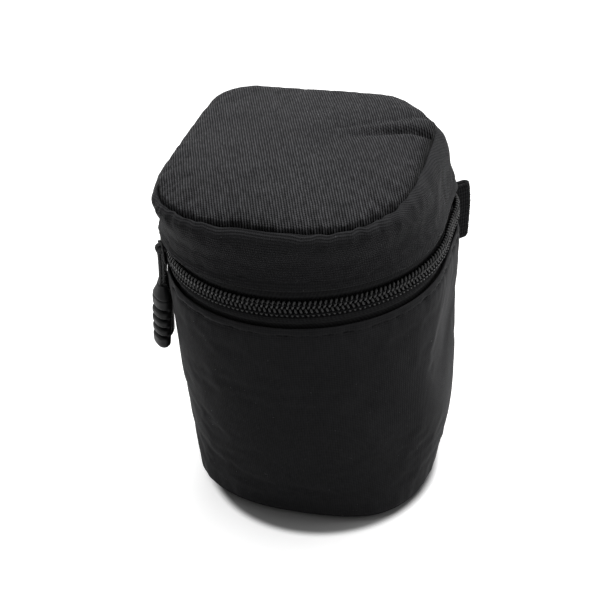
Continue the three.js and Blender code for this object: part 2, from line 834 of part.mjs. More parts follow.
function addTab(name, side) {
  const section = foldedWebbing();
  const place = { stretch: "corner", along: seamAngle, side };
  const turn = (side > 0 ? 180 - seamAngle : seamAngle) * degree;
  const out = new THREE.Vector2(Math.cos(turn), Math.sin(turn));
  const root = new THREE.Vector2(...pointAt(zipOutline, -gap, place));
  const rings = [tabTop - tabHeight, paddingTop, tabTop].map((height) => {
    const wall = new THREE.Vector2(...bodyWall(height, -gap, place).slice(0, 2));
    const slope = wall.sub(root).dot(out);
    return section.map(([along, across]) => [
      root.x + out.x * (slope + along) - out.y * across,
      root.y + out.y * (slope + along) + out.x * across,
      height,
    ]);
  });
  add(name, skin(rings, endFaces(section)), wovenTape);
}

addTab("left_tab", 1);
addTab("right_tab", -1);

export default bag;
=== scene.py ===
import json
import math

import bmesh
import bpy
import numpy as np
from mathutils import Matrix, Vector


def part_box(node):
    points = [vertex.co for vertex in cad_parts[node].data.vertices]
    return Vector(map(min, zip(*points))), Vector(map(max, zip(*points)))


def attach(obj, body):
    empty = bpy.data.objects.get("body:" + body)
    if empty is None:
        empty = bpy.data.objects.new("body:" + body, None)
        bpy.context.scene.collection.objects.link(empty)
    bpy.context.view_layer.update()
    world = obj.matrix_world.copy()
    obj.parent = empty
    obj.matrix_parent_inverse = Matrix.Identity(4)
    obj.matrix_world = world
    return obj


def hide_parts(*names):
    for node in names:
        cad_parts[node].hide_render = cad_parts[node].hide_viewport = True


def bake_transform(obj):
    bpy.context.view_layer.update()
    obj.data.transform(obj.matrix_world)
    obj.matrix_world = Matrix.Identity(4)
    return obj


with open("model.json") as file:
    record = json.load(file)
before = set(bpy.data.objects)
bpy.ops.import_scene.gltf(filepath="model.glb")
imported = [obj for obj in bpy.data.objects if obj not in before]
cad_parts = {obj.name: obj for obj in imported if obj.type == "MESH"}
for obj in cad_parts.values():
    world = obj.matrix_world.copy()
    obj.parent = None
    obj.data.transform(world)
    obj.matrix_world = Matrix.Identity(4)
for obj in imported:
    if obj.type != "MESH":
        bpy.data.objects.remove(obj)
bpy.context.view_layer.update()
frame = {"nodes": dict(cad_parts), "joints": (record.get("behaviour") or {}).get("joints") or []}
print("frame loaded:", len(frame["nodes"]), "nodes")

mm = 0.001  # sizes below are in millimetres, and meshes are in metres
fullTurn = 2 * math.pi


def boxOf(node):
    low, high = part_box(node)
    return np.array(low) / mm, np.array(high) / mm


# the pouch's own lines, read off the frame where a box gives them
wallLow, wallHigh = boxOf("front_side_panel")
bandLow = boxOf("lid_side_band")[0]
backHigh = boxOf("back_panel")[1]
sliderLow, sliderHigh = boxOf("front_slider")
seamHeight = wallLow[2]  # bottom seam
bodyHem = wallHigh[2]  # folded edge under the zip
lidHem = bandLow[2]  # folded edge over the zip
zipHeight = (sliderLow[2] + sliderHigh[2]) / 2
zipRadius = wallHigh[0]
zipBack = backHigh[1]
zipCorner = 24
rimHeight = 142
sliderRoom = 6.5  # the padding stops this far from the zip's centre line
rimTilt = 0.038  # rise per millimetre towards the back

# outlines seen from above: power 2 is a round front, more is squarer
baseLine = {"halfWidth": 48.7, "front": 43.1, "back": 37.6, "corner": 20, "power": 2.5}
zipLine = {
    "halfWidth": zipRadius,
    "front": zipRadius,
    "back": zipBack,
    "corner": zipCorner,
    "power": 2,
}
rimLine = {"halfWidth": 44.7, "front": 54.4, "back": 43.6, "corner": 18, "power": 3.2}

# distance round the pouch, from the middle of the front, left is positive
quarterRun = zipRadius * math.pi / 2
sideRun = zipBack - zipCorner
cornerRun = zipCorner * math.pi / 2
backRun = zipRadius - zipCorner
halfRun = quarterRun + sideRun + cornerRun + backRun
seamRun = quarterRun + sideRun + cornerRun / 2  # the corner seams
zipRun = quarterRun + sideRun + cornerRun * 38 / 90  # where the zip ends


def planPoint(line, inset, run):
    side = np.where(run < 0, -1.0, 1.0)
    r = np.abs(run)
    halfWidth = line["halfWidth"] - inset
    front = line["front"] - inset
    back = line["back"] - inset
    corner = np.maximum(line["corner"] - inset, 1)
    bend = 2 / line["power"]
    angle = np.clip(r / quarterRun, 0, 1) * math.pi / 2
    along = np.clip((r - quarterRun) / sideRun, 0, 1)
    turn = np.clip((r - quarterRun - sideRun) / cornerRun, 0, 1) * math.pi / 2
    across = np.clip((r - quarterRun - sideRun - cornerRun) / backRun, 0, 1)
    curve = halfWidth * np.sin(angle) ** bend
    x = curve - corner * (1 - np.cos(turn)) - (halfWidth - corner) * across
    curve = -front * np.maximum(np.cos(angle), 0) ** bend
    y = curve + (back - corner) * along + corner * np.sin(turn)
    return -side * x, y


def between(low, high, share, inset, run):
    lowX, lowY = planPoint(low, inset, run)
    highX, highY = planPoint(high, inset, run)
    return lowX + (highX - lowX) * share, lowY + (highY - lowY) * share


def bodyPoint(run, height, inset):
    run, height, inset = np.broadcast_arrays(*(np.asarray(a, float) for a in (run, height, inset)))
    share = np.clip((height - seamHeight) / (zipHeight - sliderRoom - seamHeight), 0, 1)
    x, y = between(baseLine, zipLine, share, inset, run)
    return settle(np.stack([x, y, height], axis=-1))


def lidShare(height):
    foot = zipHeight + sliderRoom
    return np.clip((height - foot) / (rimHeight - foot), 0, 1)


def lidPoint(run, height, inset):
    run, height, inset = np.broadcast_arrays(*(np.asarray(a, float) for a in (run, height, inset)))
    share = lidShare(height)
    x, y = between(zipLine, rimLine, share, inset, run)
    return settle(np.stack([x, y, height + rimTilt * share * y], axis=-1))


# how the pouch in use has lost its factory shape: each dent is a place, a reach and a push
dents = [
    {"at": (-54, -14, 78), "reach": (14, 30, 22), "push": (1.8, 0, 0)},  # hollow behind the pulls
    {"at": (-44, -30, 4), "reach": (14, 14, 12), "push": (-1.2, -0.8, 0)},
    {"at": (33, -39, 3), "reach": (14, 13, 14), "push": (1.4, -1.1, 0)},  # the foot's front right
    {"at": (45, -26, 5), "reach": (9, 10, 14), "push": (0.6, -0.2, 0)},
    {"at": (52, 0, 28), "reach": (14, 24, 20), "push": (1.4, 0, 0)},
    {"at": (56, 5, 70), "reach": (14, 34, 20), "push": (-2.1, 0, 0)},
    {"at": (56, 5, 100), "reach": (14, 34, 18), "push": (-1.4, 0, 0)},  # beside the zip, on the right
    {"at": (54, 14, 117), "reach": (14, 24, 10), "push": (-1.2, 0, 0)},
    {"at": (-43, -40, 142), "reach": (10, 12, 8), "push": (-0.8, -1.4, 0)},  # the lid's front left
    {"at": (12, -57, 142), "reach": (16, 10, 12), "push": (0.6, -0.9, 0)},
    {"at": (42, 41, 143), "reach": (15, 15, 24), "push": (-4.6, -4.6, 0)},  # its back right, squashed
    {"at": (-41, 41, 143), "reach": (11, 11, 20), "push": (-1.2, 1.0, 0)},
]


def settle(points):
    moved = points.copy()
    for dent in dents:
        off = (points - np.array(dent["at"])) / np.array(dent["reach"])
        moved += np.exp(-(off**2).sum(-1))[..., None] * np.array(dent["push"])
    return moved


def smoothStep(value, low, high):
    t = np.clip((value - low) / (high - low), 0, 1)
    return t * t * (3 - 2 * t)


def bell(value, width):
    return np.exp(-((value / width) ** 2))


def ripple(run, spacing, seed):
    # an uneven wave, such as stitches pull into cloth
    draws = np.random.default_rng(seed)
    wave = np.zeros_like(np.asarray(run, float))
    for share in (0.7, 1.0, 1.6, 2.7):
        wave += np.sin(fullTurn * run / spacing / share + draws.uniform(0, fullTurn)) * share**0.5
    return wave / 4


def squared(value, power):
    # rounds a sine or cosine off towards a square wave
    return np.sign(value) * np.abs(value) ** power


def lengthsAlong(line):
    return np.concatenate([[0], np.cumsum(np.linalg.norm(np.diff(line, axis=0), axis=1))])


def evenly(line, step):
    # evenly spaced points along a line of corners
    line = np.array(line, float)
    lengths = lengthsAlong(line)
    places = np.linspace(0, lengths[-1], max(int(lengths[-1] / step), 2) + 1)
    return np.stack([np.interp(places, lengths, part) for part in line.T], axis=1)


def placed(name, data):
    made = bpy.data.objects.new(name, data)
    bpy.context.scene.collection.objects.link(made)
    return made


def gridPiece(name, points, uv, closed=False, wearLightAndShade=None):
    # points is rows x columns x 3 in millimetres, and uv has a column more where it is closed
    rows, columns = points.shape[:2]
    mesh = bpy.data.meshes.new(name)
    across = columns if closed else columns - 1
    i, j = np.meshgrid(np.arange(rows - 1), np.arange(across), indexing="ij")
    nextJ = (j + 1) % columns
    low, high = i * columns, (i + 1) * columns
    faces = np.stack([low + j, low + nextJ, high + nextJ, high + j], axis=-1).reshape(-1, 4)
    mesh.from_pydata((points.reshape(-1, 3) * mm).tolist(), [], faces.tolist())
    layer = mesh.uv_layers.new(name="weave")
    spots = [uv[i, j], uv[i, j + 1], uv[i + 1, j + 1], uv[i + 1, j]]
    layer.data.foreach_set("uv", np.stack(spots, axis=-2).reshape(-1).astype(np.float32))
    if wearLightAndShade is not None:
        mark = mesh.attributes.new("wearLightAndShade", "FLOAT", "POINT")
        mark.data.foreach_set("value", wearLightAndShade.reshape(-1).astype(np.float32))
    mesh.shade_smooth()
    piece = placed(name, mesh)
    faceOut(piece)
    return piece


def faceOut(piece):
    # turns the faces to look away from the pouch's middle
    mesh = piece.data
    count = len(mesh.polygons)
    normals = np.empty(count * 3)
    centres = np.empty(count * 3)
    areas = np.empty(count)
    mesh.polygons.foreach_get("normal", normals)
    mesh.polygons.foreach_get("center", centres)
    mesh.polygons.foreach_get("area", areas)
    away = centres.reshape(-1, 3) - np.array([0, 0, 0.07])
    if ((normals.reshape(-1, 3) * away).sum(1) * areas).sum() < 0:
        mesh.flip_normals()


def clothUv(points, closed=False):
    # lengths along the rows from their middle and up the columns, in millimetres
    ringed = np.concatenate([points, points[:, :1]], axis=1) if closed else points
    steps = np.linalg.norm(np.diff(ringed, axis=1), axis=2)
    u = np.concatenate([np.zeros((len(points), 1)), np.cumsum(steps, axis=1)], axis=1)
    u -= u[:, [u.shape[1] // 2]]
    rises = np.linalg.norm(np.diff(ringed, axis=0), axis=2)
    v = np.concatenate([np.zeros((1, u.shape[1])), np.cumsum(rises, axis=0)], axis=0)
    return np.stack([u, v], axis=-1)


def editMesh(piece, edit):
    mesh = bmesh.new()
    mesh.from_mesh(piece.data)
    edit(mesh)
    bmesh.ops.recalc_face_normals(mesh, faces=mesh.faces)
    mesh.to_mesh(piece.data)
    mesh.free()
    piece.data.shade_smooth()


def closeEnds(mesh):
    bmesh.ops.holes_fill(mesh, edges=[edge for edge in mesh.edges if edge.is_boundary], sides=0)


def bakeModifiers(piece):
    graph = bpy.context.evaluated_depsgraph_get()
    mesh = bpy.data.meshes.new_from_object(piece.evaluated_get(graph))
    old = piece.data
    piece.modifiers.clear()
    piece.data = mesh
    mesh.name = piece.name
    bpy.data.meshes.remove(old)


def thicken(piece, thickness, levels=0):
    if levels:
        finer = piece.modifiers.new("finer", "SUBSURF")
        finer.levels = finer.render_levels = levels
    wall = piece.modifiers.new("thickness", "SOLIDIFY")
    wall.thickness = thickness * mm
    wall.offset = -1
    bakeModifiers(piece)


def finishPiece(piece, body, material, slotName, *nodes):
    piece.data.materials.clear()
    piece.data.materials.append(material)
    if body:
        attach(piece, body)
    if nodes:
        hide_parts(*nodes)
    return piece


# cloth that is sewn down at its edges and swells between them
def swell(piece, sewn, cloth):
    scene = bpy.context.scene
    group = piece.vertex_groups.new(name="sewn")
    for level in np.unique(np.round(sewn, 2)):
        members = np.nonzero(np.round(sewn, 2) == level)[0]
        if level > 0:
            group.add(members.tolist(), float(level), "REPLACE")
    count = len(piece.data.vertices)
    before = np.empty(count * 3)
    piece.data.vertices.foreach_get("co", before)
    modifier = piece.modifiers.new("cloth", "CLOTH")
    settings = modifier.settings
    settings.quality = cloth["quality"]
    settings.mass = cloth["mass"]
    settings.tension_stiffness = cloth["stiffness"]
    settings.compression_stiffness = cloth["stiffness"]
    settings.shear_stiffness = cloth["stiffness"] / 3
    settings.bending_stiffness = cloth["bending"]
    settings.air_damping = 2
    settings.use_pressure = True
    settings.uniform_pressure_force = cloth["pressure"]
    settings.shrink_min = -cloth["spare"]
    settings.vertex_group_mass = "sewn"
    settings.effector_weights.gravity = 0
    modifier.point_cache.frame_start = 1
    modifier.point_cache.frame_end = cloth["frames"]
    for number in range(1, cloth["frames"] + 1):
        scene.frame_set(number)
    graph = bpy.context.evaluated_depsgraph_get()
    after = np.empty(count * 3)
    piece.evaluated_get(graph).data.vertices.foreach_get("co", after)
    move = (after - before).reshape(-1, 3)
    far = np.linalg.norm(move, axis=1, keepdims=True)
    cap = cloth["cap"] * mm
    move *= cap * np.tanh(far / cap) / np.maximum(far, 1e-12)
    piece.modifiers.remove(modifier)
    piece.vertex_groups.remove(group)
    piece.data.vertices.foreach_set("co", (before.reshape(-1, 3) + move).reshape(-1))
    piece.data.update()
    scene.frame_set(1)
    print("  ", piece.name, "swelled by up to", round(float(far.max() / mm), 2), "mm")


def tubeRings(points, radius, sides):
    # one ring of corners round each point, carried along without twist
    points = np.asarray(points, float)
    ahead = np.gradient(points, axis=0)
    ahead /= np.linalg.norm(ahead, axis=1, keepdims=True)
    side = np.cross(ahead[0], [0.31, 0.2, 0.93])
    rings = np.empty((len(points), sides, 3))
    radii = np.broadcast_to(radius, (len(points),))
    turns = np.arange(sides) / sides * fullTurn
    for k, direction in enumerate(ahead):
        side = side - direction * side.dot(direction)
        side /= np.linalg.norm(side)
        other = np.cross(direction, side)
        circle = np.outer(np.cos(turns), side) + np.outer(np.sin(turns), other)
        rings[k] = points[k] + circle * radii[k]
    return rings


def tubePiece(name, lines, radius, sides):
    # one mesh of closed-ended tubes along lines of points in millimetres
    vertices, faces, uvs = [], [], []
    for line in lines:
        start = len(vertices)
        rings = tubeRings(line, radius, sides)
        run = lengthsAlong(line)
        vertices.extend((rings.reshape(-1, 3) * mm).tolist())
        for k in range(len(rings) - 1):
            for s in range(sides):
                t = (s + 1) % sides
                low, high = start + k * sides, start + (k + 1) * sides
                faces.append((low + s, low + t, high + t, high + s))
                uvs.extend([(s, run[k]), (s + 1, run[k]), (s + 1, run[k + 1]), (s, run[k + 1])])
        last = start + (len(rings) - 1) * sides
        faces.append(tuple(range(start + sides - 1, start - 1, -1)))
        faces.append(tuple(range(last, last + sides)))
        uvs.extend([(s, 0) for s in range(2 * sides)])
    mesh = bpy.data.meshes.new(name)
    mesh.from_pydata(vertices, [], faces)
    layer = mesh.uv_layers.new(name="weave")
    layer.data.foreach_set("uv", np.array(uvs, np.float32).reshape(-1))
    mesh.shade_smooth()
    return placed(name, mesh)


# a row of stitches: the thread lies on the cloth and dives between stitches
thread = {"thickness": 0.42, "stitch": 2.6, "dive": 0.55, "proud": 0.1, "sides": 6}


def stitchRow(name, pointAt, startRun, endRun, height, body):
    count = int(abs(endRun - startRun) / thread["stitch"]) * 8
    run = np.linspace(startRun, endRun, count + 1)
    phase = (np.arange(count + 1) % 8) / 8
    over = smoothStep(np.abs(phase - 0.5), 0.5, 0.28)
    depth = thread["dive"] - over * (thread["dive"] + thread["proud"])
    line = pointAt(run, height, depth)
    piece = tubePiece(name, [line], thread["thickness"] / 2, thread["sides"])
    return finishPiece(piece, body, threadMaterial, "outer_fabric")


def newMaterial(name):
    material = bpy.data.materials.new(name)
    material.use_nodes = True
    tree = material.node_tree
    return material, tree, tree.nodes["Principled BSDF"]


def addNode(tree, kind, settings=None, **inputs):
    made = tree.nodes.new("ShaderNode" + kind)
    for key, value in (settings or {}).items():
        setattr(made, key, value)
    for key, value in inputs.items():
        # i0 and so on are sockets by number, and other names are their labels
        label = int(key[1:]) if key[1:].isdigit() else key.replace("_", " ")
        socket = made.inputs[label]
        if isinstance(value, bpy.types.NodeSocket):
            tree.links.new(value, socket)
        else:
            socket.default_value = value
    return made


def calc(tree, operation, first, second=0.0, third=0.0):
    made = addNode(tree, "Math", {"operation": operation}, i0=first, i1=second, i2=third)
    return made.outputs[0]


def remap(tree, value, low, high):
    made = addNode(tree, "MapRange", None, Value=value)
    made.inputs["To Min"].default_value = low
    made.inputs["To Max"].default_value = high
    return made.outputs[0]


def noiseAt(tree, where, scale, detail=2.0):
    made = addNode(tree, "TexNoise", None, Vector=where, Scale=scale, Detail=detail)
    return made.outputs["Fac"]


def tint(tree, shader, colour, tone):
    plain = addNode(tree, "Mix", {"data_type": "RGBA", "blend_type": "MULTIPLY"}, Factor=1.0)
    plain.inputs["A"].default_value = (*colour, 1)
    grey = addNode(tree, "CombineColor", None, Red=tone, Green=tone, Blue=tone)
    tree.links.new(grey.outputs[0], plain.inputs["B"])
    tree.links.new(plain.outputs["Result"], shader.inputs["Base Color"])


def roughen(tree, shader, strength, relief, height):
    bump = addNode(tree, "Bump", None, Strength=strength, Distance=relief * mm, Height=height)
    tree.links.new(bump.outputs[0], shader.inputs["Normal"])


def clothMaterial(name, look):
    # woven cloth: ribs with a shorter cross thread, faint mottling, lint, painted glints along the
    # threads, and a mark that makes worn edges lighter, adds painted highlight on lit edges and
    # painted shade in creases
    material, tree, shader = newMaterial(name)

    def plus(first, second):
        return calc(tree, "ADD", first, second)

    def times(first, second):
        return calc(tree, "MULTIPLY", first, second)

    uv = addNode(tree, "UVMap", {"uv_map": "weave"}).outputs[0]
    place = addNode(tree, "TexCoord").outputs["Object"]
    turn = math.radians(look["turn"])
    turned = addNode(tree, "VectorRotate", {"rotation_type": "Z_AXIS"}, Vector=uv, Angle=turn)
    split = addNode(tree, "SeparateXYZ", None, Vector=turned.outputs[0])
    drift = times(noiseAt(tree, uv, look["driftScale"]), look["drift"])
    along = calc(tree, "DIVIDE", split.outputs[0], look["crossPitch"])
    across = calc(tree, "DIVIDE", plus(split.outputs[1], drift), look["ribPitch"])
    row = calc(tree, "FLOOR", across)
    rib = calc(tree, "SINE", times(across, fullTurn))
    cross = calc(tree, "SINE", times(plus(along, times(row, look["shift"])), fullTurn))
    height = plus(plus(times(rib, 0.5 - look["cross"]), times(cross, look["cross"])), 0.5)
    fibre = noiseAt(tree, uv, look["fibreScale"], 3.0)
    roughen(tree, shader, look["bump"], look["relief"], plus(height, times(fibre, look["fibre"])))
    mottle = noiseAt(tree, place, look["mottleScale"], 3.0)
    # painted highlight on the ribs and painted shade in the gaps between them
    ribbed = remap(tree, height, 1 - look["ribLightAndShade"], 1 + look["ribLightAndShade"])
    shade = times(ribbed, remap(tree, mottle, 0.75, 1.25))
    long, step = look["streakPlace"]
    strand = addNode(tree, "CombineXYZ", None, X=times(split.outputs[0], long), Y=times(row, step))
    streak = calc(tree, "SUBTRACT", noiseAt(tree, strand.outputs[0], 1.0, 1.0), 0.5)
    shade = times(shade, plus(times(streak, look["streak"]), 1.0))
    lint = calc(tree, "GREATER_THAN", noiseAt(tree, place, look["lintScale"], 0.0), look["lint"])
    # wear, painted highlight and painted shade, carried by one mark
    wearLightShadeMark = addNode(tree, "Attribute", {"attribute_name": "wearLightAndShade"}).outputs["Fac"]
    lift = plus(times(lint, look["lintLift"]), times(wearLightShadeMark, look["edge"]))
    tint(tree, shader, look["colour"], plus(shade, lift))
    dull = remap(tree, mottle, look["roughness"] - 0.06, look["roughness"] + 0.06)
    tree.links.new(dull, shader.inputs["Roughness"])
    shader.inputs["Specular IOR Level"].default_value = look["specular"]
    shader.inputs["Sheen Weight"].default_value = look["sheen"]
    shader.inputs["Sheen Roughness"].default_value = look["sheenRoughness"]
    return material


nylonLook = {
    "colour": (0.03, 0.03, 0.0315),
    "ribPitch": 0.9,
    "crossPitch": 0.85,
    "turn": 90,  # of the ribs, in degrees
    "shift": 0.0,  # of the cross thread from one rib to the next
    "cross": 0.26,  # the cross thread's share of the relief, out of a half
    "drift": 0.4,  # how far the ribs wander
    "driftScale": 0.22,
    "fibre": 0.3,
    "fibreScale": 9.0,
    "bump": 0.6,
    "relief": 0.08,
    "ribLightAndShade": 0.2,  # painted highlight on the ribs and painted shade in the gaps
    "mottleScale": 45.0,
    "roughness": 0.62,
    "specular": 0.02,
    "sheen": 0.02,
    "sheenRoughness": 0.45,
    "edge": 0.35,  # how much the mark changes the colour: lighter for wear and painted highlight, darker for painted shade
    "lint": 0.86,  # more is less lint
    "lintLift": 1.8,
    "lintScale": 1100.0,
    "streak": 0.4,  # how unevenly the threads catch the light along their length
    "streakPlace": (0.4, 1.7),
}
nylon = clothMaterial("ribbed nylon", nylonLook)
bandLook = {
    **nylonLook,
    "ribPitch": 1.05,
    "turn": 0,
    "cross": 0.22,
    "drift": 0.12,
    "bump": 1.0,
    "relief": 0.28,
}
bandNylon = clothMaterial("ribbed nylon, band", bandLook)
# the lid's top: the same nylon painted lighter for the light from above, with painted highlight and
# shade on its ribs and painted glints along its threads
litTopLook = {
    **nylonLook,
    "colour": (0.0405, 0.0405, 0.0425),
    "turn": 67.5,
    "shift": 0.5,
    "ribLightAndShade": 1.0,
    "relief": 0.32,
    "bump": 1.0,
    "cross": 0.12,
    "drift": 0.5,
    "fibre": 0.5,
    "streak": 1.6,
}
litTopNylon = clothMaterial("ribbed nylon, top, painted lighter", litTopLook)
hingeNylon = clothMaterial("ribbed nylon, hinge", {**nylonLook, "turn": 0})
liningLook = {
    **nylonLook,
    "colour": (0.02, 0.02, 0.022),
    "ribPitch": 0.5,
    "crossPitch": 0.5,
    "cross": 0.25,
    "relief": 0.05,
    "roughness": 0.45,
    "lint": 1.0,
}
lining = clothMaterial("lining", liningLook)
tapeLook = {
    **nylonLook,
    "colour": (0.026, 0.026, 0.027),
    "ribPitch": 0.7,
    "crossPitch": 1.4,
    "turn": 0,
    "shift": 0.25,
    "cross": 0.25,
    "relief": 0.12,
    "ribLightAndShade": 0.45,
    "lint": 1.0,
}
tapeMaterial = clothMaterial("woven tape", tapeLook)
webLook = {
    **nylonLook,
    "colour": (0.018, 0.018, 0.019),
    "ribPitch": 1.6,
    "crossPitch": 1.1,
    "turn": 0,
    "cross": 0.22,
    "relief": 0.4,
    "ribLightAndShade": 0.5,
    "lint": 0.85,
}
webbing = clothMaterial("webbing", webLook)


def plainMaterial(name, look):
    # moulded, extruded, painted or spun: fine grain, mottling and a worn gloss
    material, tree, shader = newMaterial(name)
    place = addNode(tree, "TexCoord").outputs["Object"]
    grain = noiseAt(tree, place, look["grainScale"], 4.0)
    mottle = noiseAt(tree, place, look["mottleScale"], 3.0)
    tint(tree, shader, look["colour"], remap(tree, mottle, 0.7, 1.3))
    tree.links.new(remap(tree, mottle, *look["roughness"]), shader.inputs["Roughness"])
    roughen(tree, shader, look["bump"], look["relief"], grain)
    shader.inputs["Metallic"].default_value = look["metal"]
    shader.inputs["Specular IOR Level"].default_value = look["specular"]
    return material


coilLook = {
    "colour": (0.006, 0.006, 0.0065),
    "grainScale": 900,  # more is finer
    "mottleScale": 160,
    "roughness": (0.26, 0.4),
    "bump": 0.3,
    "relief": 0.03,
    "metal": 0.0,
    "specular": 0.28,
}
coilMaterial = plainMaterial("coil nylon", coilLook)
sliderLook = {
    **coilLook,
    "colour": (0.007, 0.007, 0.0075),
    "roughness": (0.4, 0.55),
    "specular": 0.14,
}
sliderMaterial = plainMaterial("painted slider", sliderLook)
gripLook = {
    **sliderLook,
    "colour": (0.0052, 0.0052, 0.0056),
    "specular": 0.16,
    "bump": 0.5,
    "relief": 0.06,
}
gripMaterial = plainMaterial("moulded grip", gripLook)
foamLook = {
    **coilLook,
    "colour": (0.03, 0.03, 0.034),
    "grainScale": 1400,
    "roughness": (0.85, 0.98),
    "bump": 0.8,
    "relief": 0.25,
    "specular": 0.05,
}
foamMaterial = plainMaterial("foam", foamLook)
threadLook = {
    **coilLook,
    "colour": (0.012, 0.012, 0.013),
    "roughness": (0.6, 0.75),
    "specular": 0.1,
}
threadMaterial = plainMaterial("thread", threadLook)
seamLook = {**threadLook, "colour": (0.005, 0.005, 0.0055), "specular": 0.04}
seamMaterial = plainMaterial("zip sewing thread", seamLook)


def braidMaterial(name, look):
    # braid: two sets of strands crossing round the cord, painted darker between the strands as shade
    # and lighter on them as highlight
    material, tree, shader = newMaterial(name)
    uv = addNode(tree, "UVMap", {"uv_map": "weave"}).outputs[0]
    split = addNode(tree, "SeparateXYZ", None, Vector=uv)
    around = calc(tree, "MULTIPLY", split.outputs[0], look["strands"] * fullTurn / look["sides"])
    along = calc(tree, "MULTIPLY", split.outputs[1], fullTurn / look["lay"])
    left = calc(tree, "SINE", calc(tree, "ADD", around, along))
    right = calc(tree, "SINE", calc(tree, "SUBTRACT", around, along))
    height = calc(tree, "MAXIMUM", left, right)
    # painted shade between the strands and painted highlight on them
    tint(tree, shader, look["colour"], remap(tree, height, 0.6, 1.3))
    tree.links.new(remap(tree, height, *look["roughness"]), shader.inputs["Roughness"])
    roughen(tree, shader, look["bump"], look["relief"], height)
    return material


cordLook = {
    "colour": (0.0058, 0.0058, 0.0062),
    "strands": 4,
    "lay": 1.7,  # the length of one turn of a strand
    "bump": 0.9,
    "relief": 0.12,
    "roughness": (0.7, 0.5),  # low between the strands, and on them
    "sides": 12,
}
cordMaterial = braidMaterial("braided cord", cordLook)
print("materials made")

# how far apart the rows and columns of the cloth lie
stations = {"spacing": 1.5, "rise": 1.8}


def runsBetween(start, end):
    return np.linspace(start, end, int(abs(end - start) / stations["spacing"]) + 1)


def joinProfiles(*parts):
    return np.concatenate([np.array(part, float) for part in parts])


# how sewn cloth swells, changed below where a piece needs it
softCloth = {
    "quality": 5,
    "mass": 0.2,
    "stiffness": 18,
    "bending": 0.4,
    "pressure": 0.9,
    "spare": 0.005,  # the share by which the cloth is larger than its place
    "frames": 16,
    "cap": 0.9,  # the most that the cloth moves
}

# the body's outer cloth
bodyCloth = {
    "thickness": 0.6,
    "crown": 1.3,  # how far the padding pushes the cloth out
    "roll": 2.4,  # how far a seamed edge turns in
    "groove": 0.5,  # the stitched line under the hem
    "hemDrop": 1.4,  # the folded edge lies lower than the frame's by this
    "hemInset": 0.55,  # and leans in
    "stitchDrop": 3.5,  # stitches below the folded edge
    "pucker": 0.35,
    "puckerFine": 0.26,
}
bodyStitch = bodyHem - bodyCloth["stitchDrop"]


def wrapRun(run):
    # a distance past the middle of the back comes round the other side
    return np.where(run > halfRun, run - 2 * halfRun, run)


def bodyPointAround(run, height, inset):
    return bodyPoint(wrapRun(np.asarray(run, float)), height, inset)


def lidPointAround(run, height, inset):
    return lidPoint(wrapRun(np.asarray(run, float)), height, inset)


def loweredHem(height):
    return height - bodyCloth["hemDrop"] * smoothStep(height, bodyHem - 14, bodyHem)


def bodyCrown(height):
    share = np.clip((height - seamHeight) / (bodyStitch - seamHeight), 0, 1)
    return bodyCloth["crown"] * np.sin(math.pi * share) ** 0.7


def bodyWallInset(run, height):
    fromSeam = np.abs(np.abs(run) - seamRun)
    fromFoot = height - seamHeight
    fromStitch = height - bodyStitch
    pucker = bodyCloth["pucker"]
    inset = -bodyCrown(height) * (1 - 0.6 * bell(fromSeam, 9))
    inset += bodyCloth["groove"] * bell(fromStitch, 1.1)
    inset += bodyCloth["hemInset"] * smoothStep(height, bodyHem - 2.4, bodyHem)
    inset += pucker * ripple(run, 7, 3) * bell(fromStitch, 5)
    inset += bodyCloth["puckerFine"] * ripple(run, 3.2, 61) * bell(fromStitch, 2.2)
    inset += pucker * 1.4 * ripple(run, 11, 5) * bell(fromFoot, 8)
    inset += pucker * ripple(height, 9, 7) * bell(fromSeam, 6)
    inset += bodyCloth["roll"] * bell(fromSeam, 0.9)
    return inset


def bodyPanel(name, startRun, endRun, folded, node):
    # from the bottom seam up to the hem, which is folded in except behind the hinge's strip
    low, rise = seamHeight + 1.2, stations["rise"]
    foot = [(2.6, -0.3), (1.4, -0.5), (0.5, -0.1), (0.1, 0.5)]
    if folded:
        wall = np.arange(low, bodyStitch - 1.5, rise)
        wall = np.concatenate([wall, np.arange(bodyStitch - 1.2, bodyHem - 0.5, 0.6)])
        hem = [(0.62, -0.2), (0.85, 0.05), (1.15, -0.05), (1.32, -0.5)]
        hem += [(1.35, -2), (1.4, -4), (1.45, -5.8)]
    else:
        wall = np.arange(low, bodyHem - 0.5, rise)
        hem = [(0.1, -0.25), (0.5, 0), (0.9, -0.2), (1.1, -1.5)]
    profile = joinProfiles(
        [(inset, seamHeight + up) for inset, up in foot],
        [(0, height) for height in wall],
        [(inset, bodyHem + up) for inset, up in hem],
    )
    run = runsBetween(startRun, endRun)
    rolled = 0.35  # an extra column beside each seam
    run = np.concatenate([run[:1], [run[0] + rolled], run[1:-1], [run[-1] - rolled], run[-1:]])
    run = wrapRun(run)
    height, across = np.meshgrid(profile[:, 1], run, indexing="ij")
    onWall = np.zeros((len(profile), 1))
    onWall[len(foot): len(foot) + len(wall)] = 1
    inset = profile[:, [0]] + bodyWallInset(across, height) * onWall
    points = bodyPoint(across, loweredHem(height) if folded else height, inset)
    # lighter along the folded hem and the bottom seam: wear on the edges, with painted highlight
    # along the hem's fold
    hemWearAndHighlight = 0.35 * (profile[:, [0]] < 1) if folded else 1
    wearLightAndShade = hemWearAndHighlight * bell(height - bodyHem, 0.7) + 0.6 * bell(height - seamHeight, 1.2)
    piece = gridPiece(name, points, clothUv(points), wearLightAndShade=wearLightAndShade)
    free = smoothStep(height, seamHeight + 2, seamHeight + 12)
    free *= smoothStep(height, bodyStitch - 1, bodyStitch - 9)
    free *= smoothStep(np.abs(np.abs(across) - seamRun), 2, 10) * onWall
    swell(piece, (1 - free).reshape(-1), softCloth)
    thicken(piece, bodyCloth["thickness"], 1)
    finishPiece(piece, "body", nylon, "outer_fabric", node)


